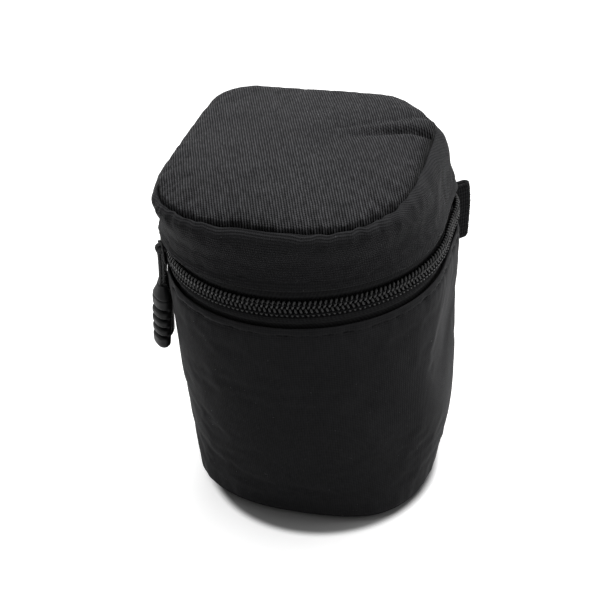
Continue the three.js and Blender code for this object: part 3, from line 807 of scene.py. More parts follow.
bodyPanel("body_front_cloth", -seamRun, seamRun, True, "front_side_panel")
bodyPanel("body_back_cloth", seamRun + 0.05, 2 * halfRun - seamRun - 0.05, False, "back_panel")

# the underside: it bulges from the bottom seam down to a flat rest
underside = {
    "rings": (2.5, 1.5, 0.9, 0.7, 1.3, 2.6, 4.6, 7.0),  # inset and height of each, from the seam
    "drops": (0.2, -0.35, -0.6, -0.95, -1.5, -2.1, -2.65, -2.97),
}


def discRows(pointAt, rings, heights, centre, inner):
    run = np.linspace(-halfRun, halfRun, int(2 * halfRun / stations["spacing"]), endpoint=False)
    rows = [pointAt(run, height, inset) for inset, height in zip(rings, heights)]
    edge = rows[-1]
    for share in np.linspace(1, 0.02, inner)[1:]:
        rows.append(np.array(centre) + (edge - np.array(centre)) * share)
    return np.array(rows)


def flatUv(points):
    return np.concatenate([points, points[:, :1]], axis=1)[..., :2]


def undersidePiece():
    heights = [seamHeight + drop for drop in underside["drops"]]
    points = discRows(bodyPoint, underside["rings"], heights, (0, -2, 0), 14)
    points[..., 2] = np.maximum(points[..., 2], 0)
    wearLightAndShade = bell(points[..., 2] - 1.5, 0.8)
    piece = gridPiece("underside_cloth", points, flatUv(points), closed=True, wearLightAndShade=wearLightAndShade)
    fillMiddle(piece, len(points), points.shape[1])
    thicken(piece, bodyCloth["thickness"])
    return finishPiece(piece, "body", nylon, "outer_fabric", "base_panel")


def fillMiddle(piece, rows, columns):
    # closes the small hole that the last ring leaves
    def cap(mesh):
        mesh.verts.ensure_lookup_table()
        mesh.faces.new([mesh.verts[(rows - 1) * columns + k] for k in range(columns)])

    editMesh(piece, cap)
    faceOut(piece)


undersidePiece()
print("body cloth made")

# the lid's outer cloth
lidCloth = {
    "thickness": 0.6,
    "crown": 0.3,  # how far the padding pushes the cloth out
    "overhang": 0.9,  # the folded edge stands over the zip at the front
    "overhangLeft": 0.3,
    "overhangRight": 0.0,
    "hemRise": 3.0,  # the folded edge stands clear of the zip by this, except at the hinge
    "stitchRise": 3.6,  # stitches above the folded edge
    "groove": 0.6,
    "pucker": 0.4,
    "puckerFine": 0.26,
    "backDrop": 1.0,  # the back of the rim lies lower than the front
    "notch": 1.8,  # and it dips once, on the right
    "shoulder": 2.3,  # how far the band rolls out beside the crease
    "slant": 0.45,  # of the ribs on the right, per millimetre past slantFrom
    "slantFrom": 46,
    "swell": {**softCloth, "stiffness": 16, "bending": 0.35, "pressure": 1.0, "spare": 0.008},
}
lidStitch = lidHem + lidCloth["stitchRise"]
creaseHeight = rimHeight - 0.3


def raisedHem(height, run):
    clear = 1 - smoothStep(np.abs(run), zipRun - 16, zipRun)
    return height + lidCloth["hemRise"] * clear * (1 - smoothStep(height, lidHem, lidHem + 15))


def overhangAt(run):
    left = smoothStep(run, 40, 75) * (lidCloth["overhangLeft"] - lidCloth["overhang"])
    right = smoothStep(-run, 50, 85) * (lidCloth["overhangRight"] - lidCloth["overhang"])
    return lidCloth["overhang"] + left + right


# where the top's edge laps over the crease: a distance round the pouch, a width and a reach
rimTucks = [
    (10, 6, 0.9),
    (-4, 5, 1.3),
    (62, 4, 1.0),
    (-27, 3, 0.9),
    (-68, 10, 1.0),
    (-104, 3, 1.2),
    (36, 5, 0.5),
]


def tuckAt(run):
    lapped = smoothStep(run, -43, -38) * (1 - smoothStep(run, 60, 85))
    beside = smoothStep(-run, 52, 60) * (1 - smoothStep(-run, 104, 112))
    tucks = sum(reach * bell(run - at, width) for at, width, reach in rimTucks)
    return 0.9 * lapped + 0.8 * beside + tucks


# where painted shade darkens the seam most: a distance round the pouch, a width and a strength
deepSeams = [(62, 16, 0.5), (2, 12, 0.6), (-88, 26, 0.8), (halfRun, 40, 0.4), (-halfRun, 40, 0.4)]


# painted shade along the crease between the band and the top
def creaseShade(run):
    deep = sum(strength * bell(run - at, width) for at, width, strength in deepSeams)
    return 2.3 * np.clip(0.45 + deep + 0.25 * ripple(run, 5, 57), 0.2, 1.2)


def rimDrop(run):
    back = lidCloth["backDrop"] * smoothStep(np.abs(run), quarterRun * 0.75, halfRun * 0.85)
    return back + lidCloth["notch"] * bell(run + 112, 5)


def atFront(run):
    # puckers are strong along the front and faint at the back
    return 1 - 0.75 * smoothStep(np.abs(run), quarterRun * 0.85, quarterRun * 1.2)


def lidBand():
    over = lidCloth["overhang"]
    out = lidCloth["shoulder"]
    leaf = [(1.0, 5.8), (0.9 - over, 3), (0.75 - over, 1), (0.55 - over, 0.1), (0.1 - over, 0.25)]
    lean = np.arange(lidHem + 0.9, lidHem + 6, 0.6)
    wall = np.arange(lidHem + 6.6, rimHeight - 6, 1.5)
    upright = [(-over * (1 - smoothStep(h, lidHem, lidHem + 6)), h) for h in lean]
    upright += [(-out * smoothStep(h, rimHeight - 16, rimHeight - 4), h) for h in wall]
    shoulder = [(1.0, -5.2), (1.04, -4.4), (1.03, -3.6), (0.97, -2.8), (0.86, -2.05), (0.7, -1.35)]
    shoulder += [(0.52, -0.75), (0.34, -0.3), (0.17, 0), (0.06, 0.05)]
    shoulder += [(-0.02, -0.2), (-0.08, -0.75), (-0.12, -1.5)]
    profile = joinProfiles(
        [(inset, lidHem + up) for inset, up in leaf],
        upright,
        [(-out * share, rimHeight + up) for share, up in shoulder],
    )
    row = np.arange(len(profile))[:, None]
    run = runsBetween(-halfRun, halfRun)[:-1]
    height, across = np.meshgrid(profile[:, 1], run, indexing="ij")
    onWall = np.zeros((len(profile), 1))
    onWall[len(leaf): len(leaf) + len(upright)] = 1
    share = np.clip((height - lidStitch) / (rimHeight - 1.5 - lidStitch), 0, 1)
    pucker = lidCloth["pucker"]
    inset = -lidCloth["crown"] * np.sin(math.pi * share) ** 0.7
    inset += lidCloth["groove"] * bell(height - lidStitch, 0.9)
    inset += pucker * ripple(across, 8, 11) * bell(height - lidStitch, 5)
    fine = ripple(across + 2 * height, 3.4, 41) * bell(height - lidStitch - 0.5, 2.0)
    inset += lidCloth["puckerFine"] * fine
    inset = profile[:, [0]] + inset * onWall
    inset += (over - overhangAt(across)) * (1 - smoothStep(height, lidHem, lidHem + 6))
    nearRim = smoothStep(height, rimHeight - 9, rimHeight - 3)
    wrinkles = 0.7 * ripple(across, 6, 13) + 0.7 * ripple(across + 0.4 * height, 3.4, 43)
    inset += pucker * 1.4 * wrinkles * nearRim * (profile[:, [0]] < -0.3) * atFront(across)
    points = lidPoint(across, raisedHem(height, across), inset)
    points[..., 2] += 0.35 * ripple(across, 13, 17) * nearRim
    points[..., 2] -= rimDrop(across) * smoothStep(height, rimHeight - 25, rimHeight)
    inCrease = row > len(leaf) + len(upright) + 8
    points[..., 2] -= (1.0 + 0.5 * tuckAt(across)) * inCrease
    # wear and painted highlight on the band's shoulder by the rim, lighter along its hem, and painted
    # shade down in the crease
    wearLightAndShade = 0.8 * bell(height - rimHeight + 1.2, 1.4) * onWall.clip(0.6)
    wearLightAndShade += 0.5 * bell(height - lidHem, 0.5)
    wearLightAndShade -= creaseShade(across) * smoothStep(row, len(profile) - 6.5, len(profile) - 2.5)
    weave = clothUv(points, closed=True)
    # on the right the cloth was cut on a slant
    off = -np.concatenate([run, [halfRun]]) - lidCloth["slantFrom"]
    weave[..., 1] += lidCloth["slant"] * np.where(off > 0, off * smoothStep(off, 0, 16), 0)
    piece = gridPiece("lid_band_cloth", points, weave, closed=True, wearLightAndShade=wearLightAndShade)
    free = smoothStep(height, lidStitch + 1, lidStitch + 8)
    free *= smoothStep(height, rimHeight - 2, rimHeight - 9) * onWall
    swell(piece, (1 - free).reshape(-1), lidCloth["swell"])
    thicken(piece, lidCloth["thickness"], 1)
    finishPiece(piece, "lid", bandNylon, "outer_fabric", "lid_side_band")


lidBand()

lidTop = {
    "rise": 5.0,  # the padded edge above the crease
    "edge": 10,  # how far in from the crease the edge stops rising
    "crown": 1.8,  # the middle above that
    "frontEdge": 19,  # the front edge is flatter than the rest
    "steps": 92,
    "pucker": 0.55,
    "middle": (0, -6),
    "reach": 48,  # from the middle to the edge, roughly
    "puckerFine": 0.3,
    "hem": 1.7,  # how far under the crease its edge is sewn
    "fold": {
        "from": (48, 12),
        "to": (13, -6),
        "bend": 6.6,
        "behind": 1.25,
        "before": 4.0,
        "depth": 3.4,
    },
    "swell": {
        **softCloth,
        "quality": 6,
        "stiffness": 14,
        "bending": 1.2,
        "pressure": 1.4,
        "spare": 0.004,
        "frames": 18,
        "cap": 2.2,
    },
}


def squareToRound(steps):
    # an even grid over a disc: its radius and its angle, at each corner of a square grid
    a, b = np.meshgrid(np.linspace(-1, 1, steps + 1), np.linspace(-1, 1, steps + 1), indexing="ij")
    x = a * np.sqrt(1 - b * b / 2)
    y = b * np.sqrt(1 - a * a / 2)
    return np.clip(np.hypot(x, y), 0, 1), np.arctan2(-x, -y)


def foldDepth(points, fold):
    # a soft fold from the right side: steep behind its line, gentle before it, fading to the left
    start, end = np.array(fold["from"], float), np.array(fold["to"], float)
    along = end - start
    length = np.linalg.norm(along)
    along /= length
    off = points[..., :2] - start
    t = (off @ along) / length
    behind = off @ np.array([along[1], -along[0]]) - fold["bend"] * 4 * t * (1 - t)
    width = np.where(behind > 0, fold["behind"], fold["before"]) * (0.7 + 0.6 * np.clip(t, 0, 1.5))
    fade = smoothStep(t, -0.15, 0.1) * (1 - smoothStep(t, 0.3, 1.15))
    return fold["depth"] * bell(behind, width) * fade


def lidTopPiece():
    radius, angle = squareToRound(lidTop["steps"])
    run = angle / math.pi * halfRun
    edge = lidPoint(run, creaseHeight - lidTop["hem"], 0.2)
    edge[..., 2] -= rimDrop(run)
    middle = np.array([*lidTop["middle"], creaseHeight - 1.4 + rimTilt * lidTop["middle"][1]])
    points = middle + (edge - middle) * radius[..., None]
    fromEdge = (1 - radius) * lidTop["reach"]
    front = smoothStep(np.abs(run), quarterRun * 0.9, quarterRun * 0.45)
    width = lidTop["edge"] + (lidTop["frontEdge"] - lidTop["edge"]) * front
    share = np.clip(fromEdge / width, 0, 1)
    rise = lidTop["rise"] * np.sqrt(1 - (1 - share) ** 2)
    rise += lidTop["crown"] * smoothStep(fromEdge, 4, 40)
    rise += lidTop["hem"] * smoothStep(fromEdge, 0, 1.0)
    coarse = ripple(run, 7, 23) + 0.6 * ripple(run, 13, 29)
    pucker = lidTop["pucker"] * coarse * bell(fromEdge - 3.5, 4)
    pucker += lidTop["puckerFine"] * ripple(run, 3.6, 53) * bell(fromEdge - 2.5, 3.5)
    points[..., 2] += rise + pucker * atFront(run) * smoothStep(fromEdge, 0, 2)
    points[..., 2] -= foldDepth(points, lidTop["fold"]) * smoothStep(fromEdge, 0, 3)
    away = points[..., :2] - middle[:2]
    away /= np.maximum(np.linalg.norm(away, axis=-1, keepdims=True), 1e-6)
    lap = (0.3 * front + tuckAt(run)) * (1 + 0.3 * ripple(run, 6, 51)) * bell(fromEdge - 2.2, 1.7)
    points[..., :2] += away * lap[..., None]
    points[..., 2] -= 0.35 * lap
    creased = foldDepth(points, lidTop["fold"]) / lidTop["fold"]["depth"]
    # painted shade along the crease, wider at the tucks, and in the bottom of the fold; the top is
    # lighter away from its edge
    shaded = bell(fromEdge, 1.9 + 1.1 * bell(run + 98, 16) + 1.0 * bell(run - 4, 8))
    wearLightAndShade = 0.25 * (1 - bell(fromEdge, 12)) - creaseShade(run) * shaded - 0.9 * creased**3
    piece = gridPiece("lid_top_cloth", points, points[..., :2], wearLightAndShade=wearLightAndShade)
    # its sewn edge and the bottom of its fold stay where they are
    sewn = np.maximum(1 - smoothStep(fromEdge, 0.8, 5), 0.85 * smoothStep(creased, 0.15, 0.95))
    swell(piece, sewn.reshape(-1), lidTop["swell"])
    thicken(piece, lidCloth["thickness"], 1)
    return finishPiece(piece, "lid", litTopNylon, "outer_fabric", "lid_top_panel")


lidTopPiece()
print("lid cloth made")

# the strip that joins the lid to the body across the back
hingeStrip = {"inset": 1.3, "tuck": 2.6, "thickness": 0.8}


def hingePiece():
    low, high = bodyHem - hingeStrip["tuck"], lidHem + hingeStrip["tuck"]
    height = np.linspace(low, high, 19)
    run = runsBetween(zipRun - 1.5, 2 * halfRun - zipRun + 1.5)
    tall, across = np.meshgrid(height, run, indexing="ij")
    bulge = -0.5 * bell(tall - zipHeight, 4)
    points = lidPointAround(across, tall, hingeStrip["inset"] + bulge)
    piece = gridPiece("hinge_cloth", points, clothUv(points))
    thicken(piece, hingeStrip["thickness"], 1)
    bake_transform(piece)
    return finishPiece(piece, None, hingeNylon, "outer_fabric", "hinge_panel")


hingePiece()

# padding and lining
layers = {
    "foamInset": 1.5,
    "foam": 4.4,  # its thickness
    "foamFoot": 7,
    "behindTape": 4.5,  # the padding starts this far in behind the zip's tapes
    "tapeReach": 15.3,
    "liningInset": 6.45,
    "lining": 0.6,
    "liningFoot": 8.2,
    "liningGap": 2.5,  # from the lid's padding to its lining's edge
    "bindingInset": 7.55,
}
bodyTop = zipHeight - sliderRoom
lidFoot = zipHeight + sliderRoom
bandTop = rimHeight - 3
topLow = creaseHeight - 1.4
frontSpan = (-seamRun, seamRun)
backSpan = (seamRun, 2 * halfRun - seamRun)
discs = {
    "base_foam": {
        "rings": (1.6, 4),
        "heights": (6.4, 6.5),
        "centre": (0, -2, 6.5),
        "thickness": 3.4,
    },
    "lid_top_foam": {
        "rings": (8, 14, 20),
        "heights": (topLow + 1.0, topLow + 2.4, topLow + 3.2),
        "centre": (0, -6, topLow + 3.6),
        "thickness": 4.6,
    },
    "base_lining": {
        "rings": (7.2, 12),
        "heights": (7.7, 7.75),
        "centre": (0, -2, 7.8),
        "thickness": 0.6,
    },
    "lid_top_lining": {
        "rings": (8.9, 16, 24),
        "heights": (topLow - 4.4, topLow - 3.2, topLow - 2.4),
        "centre": (0, -6, topLow - 2.2),
        "thickness": 0.6,
    },
}


def runsOver(span, gap, step):
    # a span less a gap at both ends, or without a span all the way round
    if span is None:
        return np.linspace(-halfRun, halfRun, int(2 * halfRun / step), endpoint=False)
    start, end = span[0] + gap, span[1] - gap
    return np.linspace(start, end, int((end - start) / step) + 1)


def ringPiece(name, pointAt, profile, span, step=2.5):
    # a solid ring or strip of even section, from a profile that closes on itself
    closed = span is None
    profile = np.array(profile + profile[:1], float)
    height, across = np.meshgrid(profile[:, 1], runsOver(span, 0.4, step), indexing="ij")
    points = pointAt(across, height, profile[:, [0]])
    piece = gridPiece(name, points, clothUv(points, closed=closed), closed=closed)

    def join(mesh):
        bmesh.ops.remove_doubles(mesh, verts=mesh.verts, dist=1e-6)
        if not closed:
            closeEnds(mesh)

    editMesh(piece, join)
    return piece


def wallPadding(name, pointAt, span, foot, step, top, body, node):
    # thick from its foot to a step, and thin behind the zip's tape from there to its top
    near, far = layers["foamInset"], layers["foamInset"] + layers["foam"]
    cut = layers["behindTape"]
    profile = [(near, foot), (near, step), (cut, step), (cut, top), (far, top), (far, foot)]
    if step == top:
        profile = [(near, foot), (near, top), (far, top), (far, foot)]
    if foot > top:
        profile.reverse()
    piece = ringPiece(name, pointAt, profile, span)
    return finishPiece(piece, body, foamMaterial, "foam_padding", node)


def discPiece(name, pointAt, body, material, slotName, node):
    disc = discs[node]
    points = discRows(pointAt, disc["rings"], disc["heights"], disc["centre"], 12)
    piece = gridPiece(name, points, flatUv(points), closed=True)
    fillMiddle(piece, len(points), points.shape[1])
    if piece.data.polygons[0].normal.z < 0:
        piece.data.flip_normals()
    thicken(piece, disc["thickness"])
    return finishPiece(piece, body, material, slotName, node)


def liningWall(name, pointAt, span, foot, top, body, node):
    # the lining comes over the padding's top to the zip's tape
    inset = layers["liningInset"]
    way = 1 if foot < top else -1
    tape = layers["behindTape"] + 0.1
    over = [(tape, 0.2), (5.2, 0.5), (6.2, 0.3), (inset, -0.6)]
    upright = [(inset, height) for height in np.arange(top - way * 3, foot, -way * 4)]
    profile = joinProfiles([(near, top + way * up) for near, up in over], upright, [(inset, foot)])
    run = runsOver(span, 0.2, 2.0 if span else 2.18)
    height, across = np.meshgrid(profile[:, 1], run, indexing="ij")
    waves = 0.25 * ripple(across, 14, 31) * smoothStep(np.abs(height - top), 2, 10)
    points = pointAt(across, height, profile[:, [0]] + np.abs(waves))
    closed = span is None
    piece = gridPiece(name, points, clothUv(points, closed=closed), closed=closed)
    thicken(piece, layers["lining"], 1)
    return finishPiece(piece, body, lining, "lining", node)


def bindingPiece(name, pointAt, height, body, node):
    # narrow tape bound over the inside seam
    inset = layers["bindingInset"]
    corners = [(0, 0), (1.3, 0.1), (1.4, 1.4), (0.1, 1.6)]
    profile = [(inset + across, height + up) for across, up in corners]
    piece = ringPiece(name, pointAt, profile, None, 2.0)
    softer = piece.modifiers.new("softer", "SUBSURF")
    softer.levels = softer.render_levels = 1
    bakeModifiers(piece)
    return finishPiece(piece, body, tapeMaterial, "woven_tape", node)


bodyFoot = layers["foamFoot"]
bodyStep = zipHeight - layers["tapeReach"]
lidStep = zipHeight + layers["tapeReach"]
sides = (bodyPoint, frontSpan, bodyFoot, bodyStep, bodyTop, "body")
sideFoam = wallPadding("side_padding", *sides, "side_foam")
back = (bodyPointAround, backSpan, bodyFoot, bodyTop, bodyTop, "body")
backFoam = wallPadding("back_padding", *back, "back_foam")
band = (lidPoint, None, bandTop, lidStep, lidFoot, "lid")
bandFoam = wallPadding("lid_band_padding", *band, "lid_band_foam")
foamed = (foamMaterial, "foam_padding")
baseFoam = discPiece("base_padding", bodyPoint, "body", *foamed, "base_foam")
topFoam = discPiece("lid_top_padding", lidPoint, "lid", *foamed, "lid_top_foam")

foot = layers["liningFoot"]
liningWall("side_lining_cloth", bodyPoint, frontSpan, foot, bodyTop, "body", "side_lining")
liningWall("back_lining_cloth", bodyPointAround, backSpan, foot, bodyTop, "body", "back_lining")
foot = bandTop - layers["liningGap"]
liningWall("lid_band_lining_cloth", lidPoint, None, foot, lidFoot, "lid", "lid_band_lining")
discPiece("base_lining_cloth", bodyPoint, "body", lining, "lining", "base_lining")
discPiece("lid_top_lining_cloth", lidPoint, "lid", lining, "lining", "lid_top_lining")

lidBindingLow, lidBindingHigh = boxOf("lid_binding")
lidBindingHeight = (lidBindingLow[2] + lidBindingHigh[2]) / 2 - 0.8
baseBindingHeight = boxOf("base_binding")[0][2]
bindingPiece("base_binding_tape", bodyPoint, baseBindingHeight, "body", "base_binding")
bindingPiece("lid_binding_tape", lidPoint, lidBindingHeight, "lid", "lid_binding")
print("padding and lining made")

# the zip
zipSizes = {
    "pitch": 1.85,
    "wire": 0.5,  # half the coil's wire
    "far": 3.45,  # a coil's outer bend, from the centre line
    "head": 0.4,  # how far a head passes the centre line
    "inset": 1.0,
    "insetRight": 0.1,
    "depth": 2.2,
    "seam": 1.75,  # the sewing thread that crosses the coil, from the centre line
    "seamThread": 0.9,
    "turnPoints": 14,  # along one turn of the wire
    "partedBy": 0.9,  # between the sliders
    "sliderLength": 12.2,
    "sliderAngles": (24.4, 9.4),  # the front and rear slider at rest, from the left side
    "tape": 0.55,
    # the tapes' inset and distance from the centre line, from behind the coil to behind the hem
    "tapeStart": [(3.45, 0.9), (3.4, 2.5)],
    "besideUpper": [(3.2, 3.4), (2.75, 4.3), (2.5, 5.2)],
    "besideLower": [(3.3, 3.9), (2.2, 4.3), (1.7, 4.9), (1.65, 5.5)],
    "tapeEnd": [(2.5, 6.8), (2.6, 8), (3.2, 11), (3.4, 15)],
}


def partedAt(run):
    runs = [zipRadius * math.radians(90 - angle) for angle in zipSizes["sliderAngles"]]
    off = np.abs(run - sum(runs) / 2)
    reach = (runs[1] - runs[0]) / 2
    quarter = zipSizes["sliderLength"] / 4
    return zipSizes["partedBy"] * (1 - smoothStep(off, reach - quarter, reach + quarter))


def coilPiece(name, way, body, node):
    turns = int(2 * zipRun / zipSizes["pitch"])
    count = turns * zipSizes["turnPoints"]
    t = np.arange(count + 1) / zipSizes["turnPoints"]
    phase = (t % 1) * fullTurn
    start = -zipRun + (0.5 * zipSizes["pitch"] if way > 0 else 0)
    # the wire dwells at its bends, so that each stroke leans by half a pitch
    run = start + (t - np.sin(2 * phase) / (4 * math.pi)) * zipSizes["pitch"]
    run = np.clip(run, -zipRun, zipRun)
    reach = (zipSizes["far"] + zipSizes["head"]) / 2 - zipSizes["wire"]
    middle = (zipSizes["far"] - zipSizes["head"]) / 2
    flat = squared(np.cos(phase), 0.75)
    deep = squared(np.sin(phase), 0.75)
    height = zipHeight + way * (middle + reach * flat + partedAt(run))
    depth = zipSizes["depth"] / 2 - zipSizes["wire"]
    inset = coilInset(run) + zipSizes["depth"] / 2 - depth * deep
    line = lidPoint(run, height, inset)
    piece = tubePiece(name, [line], zipSizes["wire"], 8)
    return finishPiece(piece, body, coilMaterial, "zip_coil", node)


def coilInset(run):
    # on the right the coil lies nearer to the outside
    nearer = zipSizes["insetRight"] - zipSizes["inset"]
    return zipSizes["inset"] + nearer * smoothStep(-run, 55, 90)


def coilSeam(name, way, body):
    # the thread that sews the coil down dips between its turns
    steps = int(2 * zipRun / zipSizes["pitch"]) * 8
    run = np.linspace(-zipRun, zipRun, steps + 1)
    phase = run / zipSizes["pitch"] * fullTurn
    height = zipHeight + way * (zipSizes["seam"] + partedAt(run)) + 0.12 * np.sin(phase)
    inset = coilInset(run) + 0.34 - 0.16 * np.cos(phase)
    piece = tubePiece(name, [lidPoint(run, height, inset)], zipSizes["seamThread"] / 2, 8)
    return finishPiece(piece, body, seamMaterial, "zip_coil")


def tapePiece(name, way, body, node):
    # the tape lies behind the coil, comes forward beside it and passes behind the folded edge
    beside = zipSizes["besideUpper" if way > 0 else "besideLower"]
    profile = evenly(zipSizes["tapeStart"] + beside + zipSizes["tapeEnd"], 0.5)
    run = runsBetween(-zipRun - 1.2, zipRun + 1.2)
    off, across = np.meshgrid(profile[:, 1], run, indexing="ij")
    pointAt = lidPoint if way > 0 else bodyPoint
    points = pointAt(across, zipHeight + way * off, profile[:, [0]])
    # a lighter line along the tape's woven cord
    cordLine = bell(off - 4.4, 0.35)
    piece = gridPiece(name, points, clothUv(points), wearLightAndShade=1.6 * cordLine)
    thicken(piece, zipSizes["tape"])
    return finishPiece(piece, body, tapeMaterial, "woven_tape", node)


coilPiece("lower_coil", -1, "body", "zip_coil_lower")
coilPiece("upper_coil", 1, "lid", "zip_coil_upper")
coilSeam("lower_coil_thread", -1, "body")
coilSeam("upper_coil_thread", 1, "lid")
tapePiece("lower_tape", -1, "body", "zip_tape_lower")
tapePiece("upper_tape", 1, "lid", "zip_tape_upper")


# the pulls hang from the sliders' bridges
pull = {
    "lean": 1.5,  # out from plumb, in degrees
    "tilt": {"front": 5.0, "rear": 1.0},  # each grip hangs at its own slant from the cord
    "swing": {"front": 0.0, "rear": 5.0},  # and along the pouch, towards the front
    "turn": {"front": 22.0, "rear": 0.0},  # and twisted on its cord
    "closer": {"front": 0.5, "rear": 0.0},  # and nearer to the pouch than the bar
    "cord": 1.3,
    "spacing": 1.25,  # of the two legs of the cord
    "shown": {"front": 16.5, "rear": 20.0},  # how much cord shows between slider and grip
    "inGrip": 4.4,  # and how much the grip covers
    "bar": 0.9,
    "bridge": 0.38,  # how tall the bridges look, against the frame's
    "atBar": 0.68,  # the cord's half thickness where the bar squeezes it
    "closing": 2.5,  # below the bar the legs come together
    "bow": -0.3,  # how far the cord bulges away from the pouch
    "gripWidth": 9.5,
    "gripThickness": 5.8,
    "gripLength": 28.2,
    "neck": 5.4,
    "shoulder": 4.4,
    "cap": 3,
    "collar": 4.9,
    "grooves": 4,
    "groovePitch": 3.95,
    "lastGroove": 21.6,  # down from the grip's top
    "groove": 1.7,
    "grooveWidth": 0.6,
    "bulge": 0.35,  # of the rings between the grooves
    "squareness": 2.5,
}
joints = {joint["name"]: joint for joint in frame["joints"]}
sliderFace = zipRadius + 0.1


def pullPlace(place):
    return Vector(joints[place + "_pull_swing"]["pos_m"])


def barSunk(place):
    # how far the bar is drawn nearer to the pouch than in the frame
    return (pullPlace(place).xy.length / mm - sliderFace) * (1 - pull["bridge"])


def sliderPiece(name, place, node, body):
    # cast and tumbled: the frame's own slider with its corners rounded
    piece = placed(name, frame["nodes"][node].data.copy())
    blocks = piece.modifiers.new("blocks", "REMESH")
    blocks.mode = "VOXEL"
    blocks.voxel_size = 0.17 * mm
    rounder = piece.modifiers.new("rounder", "SMOOTH")
    rounder.factor = 0.5
    rounder.iterations = 5
    bakeModifiers(piece)
    spots = np.empty(len(piece.data.vertices) * 3)
    piece.data.vertices.foreach_get("co", spots)
    spots = spots.reshape(-1, 3)
    outward = np.array([*pullPlace(place).xy.normalized(), 0])
    proud = spots @ outward / mm - sliderFace
    barHeight = pullPlace(place).xy.length / mm - sliderFace
    share = np.clip(proud / (barHeight - pull["bar"] / 2), 0, 1)
    spots -= np.outer(share * barSunk(place) * mm, outward)
    piece.data.vertices.foreach_set("co", spots.reshape(-1))
    piece.data.shade_smooth()
    return finishPiece(piece, body, sliderMaterial, "slider_metal", node)


sliderPiece("front_zip_slider", "front", "front_slider", "front_slider")
sliderPiece("rear_zip_slider", "rear", "rear_slider", "rear_slider")


def pullFrame(place):
    # the origin is on the bridge's bar, y is along the bar and x points away from the pouch
    up = Vector((0, 0, 1))
    outward = pullPlace(place).xy.to_3d().normalized()
    turned = Matrix((outward, up.cross(outward), up)).transposed().to_4x4()
    lean = Matrix.Rotation(-math.radians(pull["lean"]), 4, "Y")
    swing = Matrix.Rotation(math.radians(pull["swing"][place]), 4, "X")
    return Matrix.Translation(pullPlace(place)) @ turned @ swing @ lean


def pullCord(name, place, placing, body, node):
    shown = pull["shown"][place]
    turn = pull["bar"] / 2 + pull["atBar"] + 0.04
    half = pull["spacing"] / 2
    drops = np.linspace(pull["closing"], shown + pull["inGrip"], 9)
    leg = [(turn, -turn / 2)] + [(half, -drop) for drop in drops]
    bend = [(turn * math.cos(a), turn * math.sin(a)) for a in np.radians(np.arange(0, 181, 20))]
    route = leg[::-1] + bend + [(-x, z) for x, z in leg]
    shares = [min(max(-z / shown, 0), 1) for x, z in route]
    closer = pull["closer"][place]
    sunk = barSunk(place)
    bow = [pull["bow"] * math.sin(math.pi * s) - sunk * (1 - s) - closer * s for s in shares]
    route = smoothLine([(x + out, 0.0, z) for (x, z), out in zip(route, bow)], 0.4)
    radius = pull["atBar"] + (pull["cord"] / 2 - pull["atBar"]) * smoothStep(-route[:, 2], 0.5, 4)
    piece = tubePiece(name, [route], radius, cordLook["sides"])
    piece.data.transform(placing)
    return finishPiece(piece, body, cordMaterial, "pull_cord", node)


def smoothLine(points, step):
    # a rounded line through points, resampled at even steps
    points = np.array(points, float)
    padded = np.vstack([2 * points[0] - points[1], points, 2 * points[-1] - points[-2]])
    line = []
    for a, b, c, d in zip(padded, padded[1:], padded[2:], padded[3:]):
        for t in np.linspace(0, 1, 12, endpoint=False):
            bent = (2 * a - 5 * b + 4 * c - d) * t**2 + (3 * b - a - 3 * c + d) * t**3
            line.append(b + ((c - a) * t + bent) / 2)
    return evenly(line + [points[-1]], step)


def pullGrip(name, place, placing, body, node):
    # an oval bar with a tapered neck, a collar line, grooves and a rounded end
    down = np.linspace(0, pull["gripLength"], 146)
    corners = [0, 0.5, pull["shoulder"]]
    width = np.interp(down, corners, [pull["neck"] * 0.8, pull["neck"], pull["gripWidth"]])
    width = np.convolve(np.pad(width, 6, mode="edge"), np.ones(13) / 13, mode="valid")
    width *= np.interp(down, [pull["shoulder"], pull["gripLength"]], [1.08, 0.88])
    fromEnd = pull["gripLength"] - down
    roundEnd = np.sqrt(np.clip(1 - (1 - np.clip(fromEnd / pull["cap"], 0, 1)) ** 2, 0.0004, 1))
    last = pull["lastGroove"]
    cuts = np.zeros(len(down))
    pitch = pull["groovePitch"]
    for number in range(pull["grooves"]):
        cuts += pull["groove"] * bell(down - last + number * pitch, pull["grooveWidth"])
    ringed = smoothStep(down, last - pitch * (pull["grooves"] - 0.6), last - pitch * 2)
    cuts -= pull["bulge"] * ringed * roundEnd
    collar = 0.4 * bell(down - pull["collar"], 0.35)
    sides = 48
    turns = np.arange(sides) / sides * fullTurn
    power = 2 / pull["squareness"]
    x = squared(np.cos(turns), power)
    y = squared(np.sin(turns), power)
    thick = pull["gripThickness"] / pull["gripWidth"]
    points = np.empty((len(down), sides, 3))
    half = width / 2 * roundEnd
    facing = smoothStep(x, -0.6, 0.1)  # the grooves fade out towards the back
    depth = collar[:, None] + np.outer(cuts, facing)
    points[..., 0] = np.maximum(half[:, None] * thick - depth, 0.02) * x
    points[..., 1] = np.maximum(half[:, None] - depth, 0.02) * y
    points[..., 2] = -down[:, None]
    points[0, :, :2] *= 0.6
    piece = gridPiece(name, points, clothUv(points, closed=True), closed=True)
    editMesh(piece, closeEnds)
    slant = Matrix.Rotation(-math.radians(pull["tilt"][place]), 4, "Y")
    twist = Matrix.Rotation(math.radians(pull["turn"][place]), 4, "Z")
    hung = Matrix.Translation((-pull["closer"][place] * mm, 0, -pull["shown"][place] * mm))
    piece.data.transform(placing @ hung @ slant @ twist)
    return finishPiece(piece, body, gripMaterial, "pull_grip", node)


for place in ("front", "rear"):
    placing = pullFrame(place)
    body = place + "_pull"
    pullCord(place + "_cord_loop", place, placing, body, place + "_pull_cord")
    pullGrip(place + "_grip", place, placing, body, place + "_pull_grip")
print("zip made")

